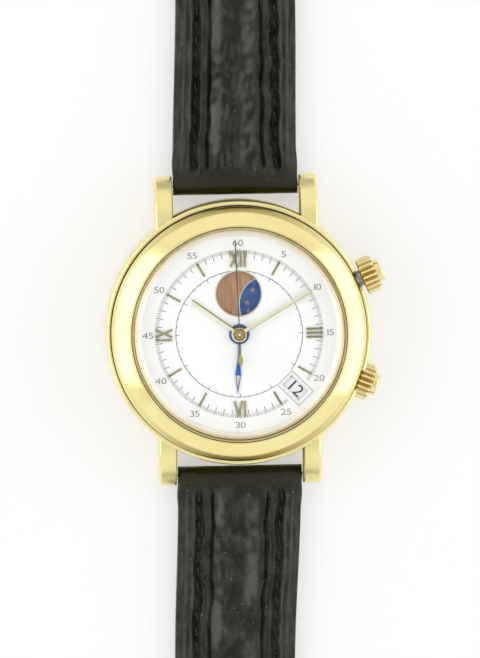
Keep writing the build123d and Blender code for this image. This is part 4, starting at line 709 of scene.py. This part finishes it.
# Moon disc print: two blue night skies opposite each other, each with a pale edge and gold stars. One shows
# in the window beside the copper moon.
sky_radius, sky_distance, sky_turn, disc_edge = 4.0, 5.83, 45, 9.2
rim_outer, rim_inner = sky_radius + 0.1, sky_radius - 0.02
star_radius, star_waist = 0.5, 0.42
night_blue = mottled("night_blue", (0.008, 0.05, 0.18), (0.03, 0.12, 0.36), 0.6, 0.35, detail=4)
sky_edge = mottled("sky_edge", (0.5, 0.52, 0.56), (0.7, 0.72, 0.75), 0.5, 0.4)
star_gold = gold("star_gold", (0.42, 0.33, 0.26), (0.3, 0.22, 0.18), 0.3, 0.5)


def sky_patch(name, turn, outer, low, high, inner=0.0):
    """A disc or ring about a point of the moon disc, each ray cut where it meets the disc's edge.

    Along direction e from centre c the edge is met at -c.e + sqrt((c.e)^2 - |c|^2 + edge^2)."""
    angle = np.linspace(0, 2 * pi, 96, endpoint=False)
    centre = sky_distance * np.array([cos(radians(turn)), sin(radians(turn))])
    ray = np.stack([np.cos(angle), np.sin(angle)], axis=-1)
    facing = ray @ centre
    reach = -facing + np.sqrt(facing**2 - sky_distance**2 + disc_edge**2)
    far = np.minimum(outer, reach)
    near = np.minimum(inner, far - 0.001) if inner else np.zeros_like(far)
    stops = [(near, low), (far, low), (far, high), (near, high)]
    points = np.stack([lifted(centre + ray * r[:, None], z) for r, z in stops], axis=1)
    return surface(name, points, wrap_rows=True, wrap_columns=bool(inner), crease=30)


def stars(name, places, low, high):
    """Flat five-pointed stars, whose radius swings between the tips and the waist ten times round."""
    angle = np.arange(10) * pi / 5 + pi / 2
    reach = star_radius * np.where(np.arange(10) % 2 == 0, 1, star_waist)
    outline = np.stack([reach * np.cos(angle), reach * np.sin(angle)], axis=-1)
    return prisms(name, np.asarray(places)[:, None, :] + outline[None], low, high)


star_places = [(2.0, 6.2), (1.2, 4.42), (1.42, 3.15), (4.1, 6.6), (3.6, 2.2), (5.6, 4.6), (3.5, 4.6)]
star_places += [(-x, -y) for x, y in star_places]
for label, turn in (("near", sky_turn), ("far", sky_turn + 180)):
    patch = sky_patch(f"night_sky_{label}", turn, sky_radius, disc_top, disc_top + film)
    piece(patch, night_blue, "moon_disc", "moon_copper")
    rim = sky_patch(f"sky_edge_{label}", turn, rim_outer, disc_top, disc_top + film * 2, rim_inner)
    piece(rim, sky_edge, "moon_disc", "moon_copper")
star_mesh = stars("moon_stars", star_places, disc_top + film, disc_top + film * 2)
piece(star_mesh, star_gold, "moon_disc", "moon_copper")


# Applied markers and hands: stamped gold batons and numerals pinned in the dial, ridged gold hands, a thin
# gold seconds hand, and the blued steel alarm hand lowest of all. A stepped hub caps them.
marker_gold = gold("marker_gold", (0.46, 0.43, 0.24), (0.3, 0.28, 0.13), 0.15, 0.3)
dressed(marker_gold, "hour_batons", "roman_numerals")
hand_gold = gold("hand_gold", (0.88, 0.86, 0.62), (0.78, 0.75, 0.48), 0.1, 0.2)
dressed(hand_gold, "moon_window_ring")
hour_painted_shade, minute_painted_shade = (0.25, 0.22, 0.1), (0.6, 0.57, 0.36)
alarm_tones = (
    (1.4, 1.6, (0.27, 0.34, 0.42)), (3.3, 4.3, (0.03, 0.14, 0.5)), (5.9, 6.0, (0.2, 0.22, 0.32)),
    (7.9, 8.3, (0.05, 0.1, 0.4)),
)


def beside_axis(made, clockwise, start, end):
    """A share by how far a point lies clockwise of a hand's axis: x cos a - y sin a from start to end."""
    tree = made.node_tree
    way = (cos(radians(clockwise)), -sin(radians(clockwise)), 0)
    place = step(tree, "TexCoord", "Object", {})
    across = step(tree, "VectorMath", "Value", {0: place, 1: way}, operation="DOT_PRODUCT")
    return rising(tree, across, start * mm, end * mm)


# Painted shade: the hour and minute hands are coloured darker on their clockwise side.
for label, clockwise, start, end, painted_shade in (
    ("hour_hand", 306, 0.08, 0.18, hour_painted_shade), ("minute_hand", 59.4, 0.06, 0.16, minute_painted_shade),
):
    facet_gold = gold(f"{label}_gold", (0.99, 0.98, 0.74), (0.95, 0.93, 0.66), 0.12, 0.22)
    toned(facet_gold, beside_axis(facet_gold, clockwise, start, end), painted_shade)
    dressed(facet_gold, label)
seconds_gold = gold("seconds_gold", (0.2, 0.18, 0.11), (0.13, 0.115, 0.07), 0.2, 0.3)
toned(seconds_gold, beside_axis(seconds_gold, 90, 2.4, 3.2), (0.56, 0.5, 0.2))
dressed(seconds_gold, "seconds_hand")
blued = mottled("blued", (0.04, 0.09, 0.33), (0.07, 0.15, 0.48), 0.5, 0.2, metallic=0.6)
for start, end, tone in alarm_tones:
    toned(blued, beside_axis(blued, 90, start, end), tone)
dressed(blued, "alarm_hand")


def valley(offset, half):
    """A smooth dip of depth one: (1 + cos(pi offset / half)) / 2 within half, nothing outside."""
    return np.where(np.abs(offset) < half, (1 + np.cos(pi * offset / half)) / 2, 0)


hub_outline = np.array([
    (0.0, 9.92), (0.95, 9.92), (0.98, 9.95), (0.98, 10.02), (0.92, 10.05), (0.78, 10.05), (0.74, 9.98),
    (0.62, 9.98), (0.58, 10.06), (0.42, 10.08), (0.38, 10.0), (0.26, 10.0), (0.22, 10.1), (0.1, 10.12),
    (0.0, 10.12),
])
hub = turned("hand_hub", hub_outline, 64, 20, ring=False)
hub_gold = gold("hub_gold", (0.78, 0.66, 0.32), (0.6, 0.48, 0.2), 0.15, 0.3)
# Painted shade darkens the hub's two grooves, and a painted highlight lies as a pale spot at its middle.
tinted(
    hub_gold, hub, "painted_shade", (0.08, 0.06, 0.03),
    lambda x, y, z: valley(np.hypot(x, y) - 0.7, 0.15) + valley(np.hypot(x, y) - 0.32, 0.12),
)
tinted(hub_gold, hub, "spot", (0.98, 0.97, 0.92), lambda x, y, z: 1 - smooth_step(np.hypot(x, y), 0.1, 0.17))
piece(hub, hub_gold, "seconds_train", "applied_gold")


# Crowns: gold plated, milled with deep flutes, each with a plain boss outside and a recess that slides over
# its steel tube. The upper one sets the alarm and stands pulled out.
crown_height, crown_radius = 5.3, 2.65
flutes, flute_depth = 18, 0.42
flute_groove_colour = (0.5, 0.33, 0.08)


def crown_points(angle, seat, steps=216):
    """The crown's outline of (distance, radius, milled share) about its stem.

    On the milled rim the radius loses flute depth times (1 + cos 18a) / 2, so ribs are as wide as grooves."""
    rim = [(distance, crown_radius, 1) for distance in (0.25, 0.6, 1.1, 1.6, 1.95)]
    outline = np.array([
        (1.5, 0.0, 0), (1.5, 1.3, 0), (0.0, 1.3, 0), (0.0, 2.2, 0), (0.03, 2.42, 0.5), (0.12, 2.56, 1), *rim,
        (2.08, 2.56, 1), (2.17, 2.42, 0.5), (2.2, 2.2, 0), (2.2, 1.6, 0), (2.8, 1.6, 0), (2.96, 1.58, 0),
        (3.03, 1.52, 0), (3.05, 1.42, 0), (3.05, 0.0, 0),
    ])
    around = np.linspace(0, 2 * pi, steps, endpoint=False)[:, None]
    groove = (1 + np.cos(flutes * around)) / 2
    radius = outline[None, :, 1] - flute_depth * outline[None, :, 2] * groove
    x, y = swung(seat + outline[None, :, 0] + 0 * around, radius * np.cos(around), angle)
    return np.stack([x, y, crown_height + radius * np.sin(around)], axis=-1)


def groove_share(x, y, z):
    """How deep a point of a crown's rim lies in its groove: what its radius lacks of the full one."""
    turn = radians(22.5) * np.sign(y)
    beside = y * np.cos(turn) - x * np.sin(turn)
    out = x * np.cos(turn) + y * np.sin(turn)
    lacks = (crown_radius - np.hypot(beside, z - crown_height)) / flute_depth
    return np.where((lacks < 1.6) & (out < 21.7), smooth_step(lacks, 0.25, 0.95), 0)


crown_gold = gold("crown_gold", (0.95, 0.85, 0.46), (0.88, 0.74, 0.34), 0.08, 0.2)
# The grooves of the flutes are coloured a darker amber gold.
toned(crown_gold, attribute(crown_gold, "groove"), flute_groove_colour)
for crown, angle, seat in (("alarm", 22.5, 19.35), ("time", -22.5, 18.4)):
    mesh = surface(f"{crown}_crown_milled", crown_points(angle, seat), wrap_rows=True, crease=40)
    mark(mesh, "groove", groove_share)
    piece(mesh, crown_gold, f"{crown}_knob", "gold_plate", f"{crown}_crown")


# Strap: two padded halves of glossy black leather, folded round the spring bars and sewn through. A raised
# panel runs down the middle between two grooves, with a sunk seam on each side and a flank outside it.
bar_place, bar_height, fold_radius = 21.1, 3.2, 1.5
strap_half_at_bar, strap_half_at_end = 8.95, 8.0
tip_length, tip_blunt = 12.0, 0.22
edge_round = 0.4
seam_inset, seam_half, seam_depth = 3.08, 0.7, 1.0
groove_inset, groove_half, groove_depth = 4.98, 0.36, 0.5
ridges = ((2.3, 0.22, 0.1), (1.35, 0.25, 0.08))
# The two streaks are painted highlights on the strap's panel.
sheen_streaks = ((-2.8, 1.2, 1.2), (1.8, 1.5, 0.95))
bend_reach, bend_end = 30.0, 41.0
hole_first, hole_pitch, hole_count, hole_radius = 87.0, 6.5, 7, 0.9
slot_place, slot_radius, slot_stretch = 75.2, 1.4, 3.1
cut_low, cut_high = -1, 5
# The first colour here is a painted highlight, the lighter grey laid where sheen would lie.
painted_sheen_grey, fold_brown = (0.07, 0.074, 0.06), (0.014, 0.011, 0.002)


def lumps(x, y, size, seed, waves=14):
    """Soft unevenness between about -1 and 1: a sum of sine waves of random direction and place."""
    chance = np.random.default_rng(seed)
    total = 0
    for _ in range(waves):
        turn, start = chance.uniform(0, 2 * pi, 2)
        pace = chance.uniform(0.6, 1.6) * 2 * pi / size
        total = total + np.sin(pace * (x * cos(turn) + y * sin(turn)) + start)
    return total / sqrt(waves)


class Half:
    """One half of the strap: its length, far end, heights along it, sideways bend and creases.

    Heights are (distance, underside, edge and middle thickness), creases (distance, depth, half width)."""

    def __init__(self, length, heights, bend, creases, seed, sign, carve_share, far_bar=None):
        self.length, self.heights, self.bend = length, np.array(heights, float).T, bend
        self.creases, self.seed, self.sign = creases, seed, sign
        self.carve_share, self.far_bar = carve_share, far_bar

    def half_width(self, d):
        """Straight taper, with a small flare by the lugs; a pointed end where there is no far bar."""
        width = np.interp(d, [0, self.length], [strap_half_at_bar, strap_half_at_end])
        width = width + 0.12 * valley(d - 2.8, 2.4)
        if self.far_bar is None:
            t = np.clip((d - self.length + tip_length) / tip_length, 0, 1)
            width = width * (tip_blunt + (1 - tip_blunt) * np.sqrt(1 - t**2))
        return width

    def carved(self, d, across, inward):
        """What groove, seam, creases and wrinkles take off the hide, at a distance inward of its edge.

        Ridges (inset, half width, height) and the swelling between groove and seam add to it."""
        carved = groove_depth * self.carve_share * valley(inward - groove_inset, groove_half)
        carved += 0.2 * valley(inward - groove_inset + 0.75 + 0.1 * np.sign(across), 0.25)
        carved += seam_depth * self.carve_share * valley(inward - seam_inset, seam_half) ** 0.6
        for inset, half, height in ridges:
            carved -= height * valley(inward - inset, half)
        carved -= 0.1 * valley(inward - (groove_inset + seam_inset) / 2 - 0.1, 0.8)
        in_panel = smooth_step(inward, groove_inset, groove_inset + 0.8)
        panel_edge = smooth_step(inward, groove_inset - 0.3, groove_inset)
        carved += 0.3 * (panel_edge - smooth_step(inward, groove_inset - 0.4, groove_inset + 2.4))
        for place, depth, half in self.creases:
            carved += depth * in_panel * valley(d - place - self.wander(across), half)
        carved += 0.16 * in_panel * lumps(across, d * 0.6, 2.6, self.seed)
        return carved + 0.03 * lumps(across * 2, d * 0.2, 1.7, self.seed + 1) + 0.04

    def sides(self, d, across):
        """Upper and lower height at distance d and offset across, both arrays of one shape."""
        table_d, *rows = self.heights
        low, edge, middle = (np.interp(d, table_d, row) for row in rows)
        width = self.half_width(d)
        share = np.clip(np.abs(across) / width, 0, 1)
        dome = edge + (middle - edge) * (1 - share**3) ** 0.8
        padded = smooth_step(middle - edge, 0.1, 1.6) * 0.55 + 0.45
        begun = smooth_step(d, 1.1, 3.0) * smooth_step(self.length - d, 1.0, 3.5)
        inward = width - np.abs(across) + 0.13 * lumps(np.sign(across) * 9, d, 7, self.seed + 3)
        top = low + dome - self.carved(d, across, inward) * padded * begun
        low = low + 0.1 * begun * valley(inward - seam_inset, seam_half)
        for bar_at, height, way in self.bars():
            beyond = (bar_at - d) * way
            arch = np.sqrt(np.clip(fold_radius**2 - beyond**2, 0, None))
            top = np.where(beyond > 0, height + arch, top)
            low = np.where(beyond > 0, height - arch, low)
        return top, low

    def wander(self, across):
        """How far a crease strays along the strap: two sine waves over its width."""
        return 0.6 * np.sin(0.8 * across + self.seed) + 0.25 * np.sin(2.3 * across)

    def bars(self):
        """The folds: (place, height of the bar, direction the strap leaves it)."""
        near = [(0.0, bar_height, 1)]
        return near if self.far_bar is None else near + [(self.length, self.far_bar, -1)]

    def place(self, d, across, height):
        """Puts strap coordinates on the watch: bent aside by a share of sin^2, then out from the bar."""
        bent = self.bend * np.sin(np.interp(d, [0, bend_reach, bend_end], [0, pi / 2, pi])) ** 2
        return np.stack([across * self.sign + bent, (bar_place + d) * self.sign, height + 0 * d], axis=-1)

    def on_strap(self, x, y):
        """Where points of the watch lie on this half: along it, beside its middle and inward of its edge."""
        d = y * self.sign - bar_place
        beside = x - self.place(d, 0 * d, d)[:, 0]
        return d, beside, self.half_width(np.clip(d, 0, self.length)) - np.abs(beside)

    def wear(self, x, y, z):
        """How much painted highlight a point gets, a lighter grey standing in for sheen: along the ridges,
        beside the creases and in two patchy streaks.

        A streak is (offset from the middle, half width, strength)."""
        d, beside, inward = self.on_strap(x, y)
        wide, narrow = lumps(x, d * 0.45, 5, self.seed + 2), lumps(x, d * 0.7, 1.7, self.seed + 5)
        patches = np.clip(0.5 + 0.6 * wide + 0.4 * narrow, 0, 1.4)
        sheen_amount = sum(strength * valley(beside - place, width) * patches for place, width, strength in sheen_streaks)
        sheen_amount += sum(0.5 * valley(inward - inset, 0.28) for inset, _, _ in ridges)
        in_panel = smooth_step(inward, groove_inset + 0.3, groove_inset + 1.5)
        for place, _, width in self.creases:
            ridge = valley(d - place - width - self.wander(beside * self.sign), 0.6)
            sheen_amount += 0.45 * in_panel * ridge * patches
        return sheen_amount * smooth_step(d, 1.0, 4.0) * (z > self.sides(d, beside * self.sign)[1] + 0.4)

    def sunk(self, x, y, z):
        """How deep a point lies in seam or groove, by the same dips that are carved into the hide."""
        d, _, inward = self.on_strap(x, y)
        dips = valley(inward - seam_inset, seam_half) + valley(inward - groove_inset, groove_half)
        return self.carve_share * dips * smooth_step(d, 1.5, 3.5)

    def folded(self, x, y, z):
        """How near a point is to the fold round the spring bar, where the hide is coloured olive brown."""
        return 1 - smooth_step(y * self.sign - bar_place, 0.6, 2.2)

    def mesh(self, name):
        """The closed skin: rows along the strap, columns over the top, round the edge and back underneath."""
        fold = -fold_radius * np.cos(np.linspace(0, pi / 2, 11))
        straight = np.linspace(0, self.length, int(self.length * 2.4) + 1)[1:]
        if self.far_bar is None:
            t = np.sin(np.linspace(0, pi / 2, 40))
            shoulder = self.length - tip_length
            d = np.concatenate([fold, straight[straight < shoulder - 0.3], shoulder + tip_length * t])
        else:
            d = np.concatenate([fold, straight, self.length - fold[::-1][1:]])
        span = np.linspace(-1, 1, 83)
        turn = np.linspace(pi / 2, -pi / 2, 9)[1:-1]
        d_grid, span_grid = np.meshgrid(d, span, indexing="ij")
        width = self.half_width(d_grid)
        flat_half = width - edge_round
        top, low = self.sides(d_grid, span_grid * flat_half)
        d_edge, turn_grid = np.meshgrid(d, turn, indexing="ij")
        outward = edge_round * np.cos(turn_grid) ** 0.7
        rise = np.sign(np.sin(turn_grid)) * np.abs(np.sin(turn_grid)) ** 0.7
        middle, half_height = (top + low)[:, -1:] / 2, (top - low)[:, -1:] / 2
        edge_height = middle + half_height * rise
        edge_across = flat_half[:, -1:] + outward
        upper, lower = (self.place(d_grid, span_grid * flat_half, height) for height in (top, low))
        right, left = (self.place(d_edge, side * edge_across, edge_height) for side in (1, -1))
        points = np.concatenate([upper, right, lower[:, ::-1], left[:, ::-1]], axis=1)
        return surface(name, points, wrap_columns=True, capped=True, crease=60)


def cut_out(mesh, cutters):
    """The mesh less each cutter, worked out by an exact boolean."""
    whole = bpy.data.objects.new("whole", mesh)
    scene.collection.objects.link(whole)
    tools = []
    for cutter in cutters:
        tool = bpy.data.objects.new("tool", cutter)
        scene.collection.objects.link(tool)
        cut = whole.modifiers.new("cut", "BOOLEAN")
        cut.operation, cut.solver, cut.object = "DIFFERENCE", "EXACT", tool
        tools.append(tool)
    bpy.context.view_layer.update()
    made = bpy.data.meshes.new_from_object(whole.evaluated_get(bpy.context.evaluated_depsgraph_get()))
    for spare in [whole, *tools]:
        bpy.data.objects.remove(spare)
    mesh.name, made.name = "uncut", mesh.name
    return made


def post(x, y, radius, low, high, stretch=1.0, steps=32):
    """An upright post with a round or long outline, for cutting."""
    angle = np.linspace(0, 2 * pi, steps, endpoint=False)
    ring = np.stack([x + radius * np.cos(angle), y + radius * stretch * np.sin(angle)], axis=-1)
    points = np.stack([lifted(ring, z) for z in (low, high)])
    return surface("post", points, wrap_columns=True, capped=True)


def leather(name, size, wrinkle, specks):
    """Glossy black hide: fine pores, long wrinkles, a patchy shine, and a share of pale specks of dust."""
    sheen = {"Specular_Ior_Level": 0.36, "Specular_Tint": (1, 1, 0.86, 1)}
    made = new_finish(name, (0.008, 0.009, 0.006), 0.36, **sheen)
    patches = {"start": 0.42, "end": 0.66, "detail": 6, "stretch": (1, 1.5, 1)}
    spread(made, size * 1.2, (0.002, 0.003, 0.001), (0.024, 0.024, 0.018), **patches)
    spread(made, size, 0.2, 0.5, "Roughness", detail=5, stretch=(1, 2.5, 1))
    relief(made, 0.22, 0.025, detail=4)
    relief(made, 0.9, wrinkle, detail=6, stretch=(1, 3, 1))
    dust = rising(made.node_tree, clouds(made, 0.3, detail=1), 0.78 - specks, 0.82 - specks)
    toned(made, dust, (0.3, 0.3, 0.26))
    return made


near_bar = [(-fold_radius, 1.7, 2.9, 3.0), (0, 1.7, 2.9, 3.0), (2, 0.765, 2.2, 3.8)]
near_bar += [(distance, 0, 2.2, 3.8) for distance in (5, 10)]
buckle_half = Half(
    length=75.0,
    heights=(
        *near_bar, (33, 0, 2.0, 2.6), (39, 1.15, 2.0, 2.6), (70, 1.15, 2.0, 2.6), (75, 0, 2.9, 3.0),
        (77, 0, 2.9, 3.0),
    ),
    bend=0.55,
    creases=((12.6, 0.34, 0.6), (16.2, 0.38, 0.7), (23.5, 0.4, 1.0), (29, 0.25, 0.8), (41, 0.2, 0.8)),
    seed=4, sign=1, carve_share=1.0, far_bar=1.5,
)
tail_half = Half(
    length=115.0,
    heights=(*near_bar, (70, 0, 2.0, 2.6), (115, 0, 2.0, 2.6)),
    bend=-1.07,
    creases=((8.4, 0.15, 0.5), (21.8, 0.4, 1.1), (27, 0.22, 0.7), (38, 0.3, 1.0), (57, 0.2, 0.9)),
    seed=9, sign=-1, carve_share=0.72,
)
holes = [hole_first - hole_pitch * i for i in range(hole_count)]
hole_posts = [post(0, -(bar_place + d), hole_radius, cut_low, cut_high) for d in holes]
slot_post = post(0, bar_place + slot_place, slot_radius, cut_low, cut_high, stretch=slot_stretch)
for label, half, cutters, wrinkle, specks in (
    ("buckle_side", buckle_half, [slot_post], 0.12, 0.0), ("tail_side", tail_half, hole_posts, 0.22, 0.03),
):
    hide = leather(f"{label}_hide", 1.5, wrinkle, specks)
    mesh = cut_out(half.mesh(f"{label}_leather"), cutters)
    # Painted highlights: a lighter grey where sheen would lie, along ridges, beside creases and in streaks on
    # the panel.
    tinted(hide, mesh, "wear", painted_sheen_grey, half.wear)
    tinted(hide, mesh, "fold", fold_brown, half.folded)
    mark(mesh, "depths", half.sunk)
    roughened(hide, attribute(hide, "depths"))
    made = piece(mesh, hide, label, "strap_leather", f"{label}_strap")


# Stitching: waxed black thread in the two seams, each stitch a little aslant, and a row of short stitches
# that closes the fold by the spring bar.
thread_radius, stitch_pitch, stitch_length, stitch_slant = 0.2, 2.2, 1.75, 9
fold_thread_radius, fold_pitch, fold_length, fold_slant = 0.13, 0.45, 0.9, 12.0
thread_black = mottled("thread_black", (0.003, 0.003, 0.001), (0.03, 0.03, 0.022), 0.5, 0.5)
spread(thread_black, 0.15, 0.4, 0.65, "Roughness", stretch=(1, 3, 1))


def thread(name, centres, turns, length, radius, rings=7, sides=6):
    """Stitches as one mesh: each a short round body, its radius radius * sqrt(1 - t^4) from end to end.

    A stitch lies level at its centre, turned about the upright by its own angle in degrees."""
    t = np.linspace(-1, 1, rings)[:, None]
    around = np.linspace(0, 2 * pi, sides, endpoint=False)
    fat = radius * np.sqrt(np.clip(1 - t**4, 0, 1))
    along = t * length / 2 + 0 * around
    x, y = swung(fat * np.cos(around), along, turns[:, None, None])
    local = np.stack([x, y, fat * np.sin(around) + 0 * x], axis=-1)
    row, column = np.meshgrid(np.arange(rings - 1), np.arange(sides), indexing="ij")
    here, beside = row * sides + column, row * sides + (column + 1) % sides
    quad = np.stack([here + sides, beside + sides, beside, here], axis=-1).reshape(-1, 4)
    faces = (np.arange(len(centres))[:, None, None] * rings * sides + quad).reshape(-1, 4).tolist()
    return closed(raw_mesh(name, centres[:, None, None, :] + local, faces), 80)


def seam_stitches(half, first, last):
    """Centres and turns of the stitches of both seams, over and under the strap."""
    d = np.arange(first, last, stitch_pitch)
    centres, turns = [], []
    for side in (-1, 1):
        across = side * (half.half_width(d) - seam_inset)
        top, low = half.sides(d, across)
        ahead = half.place(d + 0.5, side * (half.half_width(d + 0.5) - seam_inset), top)
        here = half.place(d, across, top + 0.03)
        lean = -np.degrees(np.arctan2(ahead[:, 0] - here[:, 0], ahead[:, 1] - here[:, 1]))
        centres += [here, half.place(d, across, low + 0.11)]
        turns += [lean + stitch_slant, lean - stitch_slant]
    return np.concatenate(centres), np.concatenate(turns)


def fold_stitches(half):
    """Short stitches across the strap just outside the fold, on both flanks, none quite in line."""
    across = np.concatenate([np.arange(-8.0, -4.4, fold_pitch), np.arange(4.4, 8.1, fold_pitch)])
    d = 0.55 + np.random.default_rng(half.seed).uniform(-0.08, 0.08, len(across))
    top, _ = half.sides(d, across)
    return half.place(d, across, top - 0.02), np.full(len(across), fold_slant)


for label, half, last in (("buckle_side", buckle_half, 71.5), ("tail_side", tail_half, 111.0)):
    seam = thread(f"{label}_stitches", *seam_stitches(half, 2.9, last), stitch_length, thread_radius)
    fold = thread(f"{label}_fold_stitches", *fold_stitches(half), fold_length, fold_thread_radius)
    for stitches in (seam, fold):
        piece(stitches, thread_black, label, "strap_leather")


# Keepers: two loops of the same leather, folded round and glued, one sewn down by the buckle and the other
# free to slide.
keeper_low, keeper_high, keeper_wall = 0.0, 7.05, 1.0


def keeper_mesh(name, distance, width, inner_half):
    """A band carried round a rounded rectangle: corners are quarter circles, sides straight.

    The band's own section is a squarish oval, |c|^0.3 wide and |s|^0.55 thick."""
    corner = 1.35
    half_x, half_z = inner_half + keeper_wall / 2, (keeper_high - keeper_low - keeper_wall) / 2
    signs = np.array([(1, 1), (-1, 1), (-1, -1), (1, -1)])
    centres = signs * (half_x - corner, half_z - corner)
    turn = np.linspace(0, pi / 2, 9)[None, :] + np.arange(4)[:, None] * pi / 2
    normal = np.stack([np.cos(turn), np.sin(turn)], axis=-1)
    path = (centres[:, None, :] + corner * normal).reshape(-1, 2)
    normal = normal.reshape(-1, 2)
    around = np.linspace(0, 2 * pi, 28, endpoint=False)
    along = np.sign(np.cos(around)) * np.abs(np.cos(around)) ** 0.3 * width / 2
    thick = np.sign(np.sin(around)) * np.abs(np.sin(around)) ** 0.55 * keeper_wall / 2
    section = path[:, None, :] + normal[:, None, :] * thick[None, :, None]
    x, z = section[..., 0], (keeper_low + keeper_high) / 2 + section[..., 1]
    points = np.stack([x, bar_place + distance + along + 0 * x, z], axis=-1)
    return surface(name, points, wrap_rows=True, wrap_columns=True, crease=60)


keeper_leather = leather("keeper_leather", 1.0, 0.12, 0.0)
for label, distance, width, inner_half, body in (
    ("fixed_keeper", 65.2, 4.5, 8.2, "buckle_side"), ("free_keeper", 53.5, 5.0, 8.58, "free_keeper"),
):
    band = keeper_mesh(f"{label}_band", distance, width, inner_half)
    piece(band, keeper_leather, body, "strap_leather", label)


# Buckle: a forged frame with its pin and tongue, plated like the case. The strap is folded round the pin, and
# the tongue comes out through a slot in the fold.
buckle_gold = gold("buckle_gold", gold_pale, gold_deep, 0.2, 0.3)
for buckle_piece in ("buckle_frame", "buckle_pin", "buckle_tongue"):
    smoothed(buckle_piece, buckle_gold)
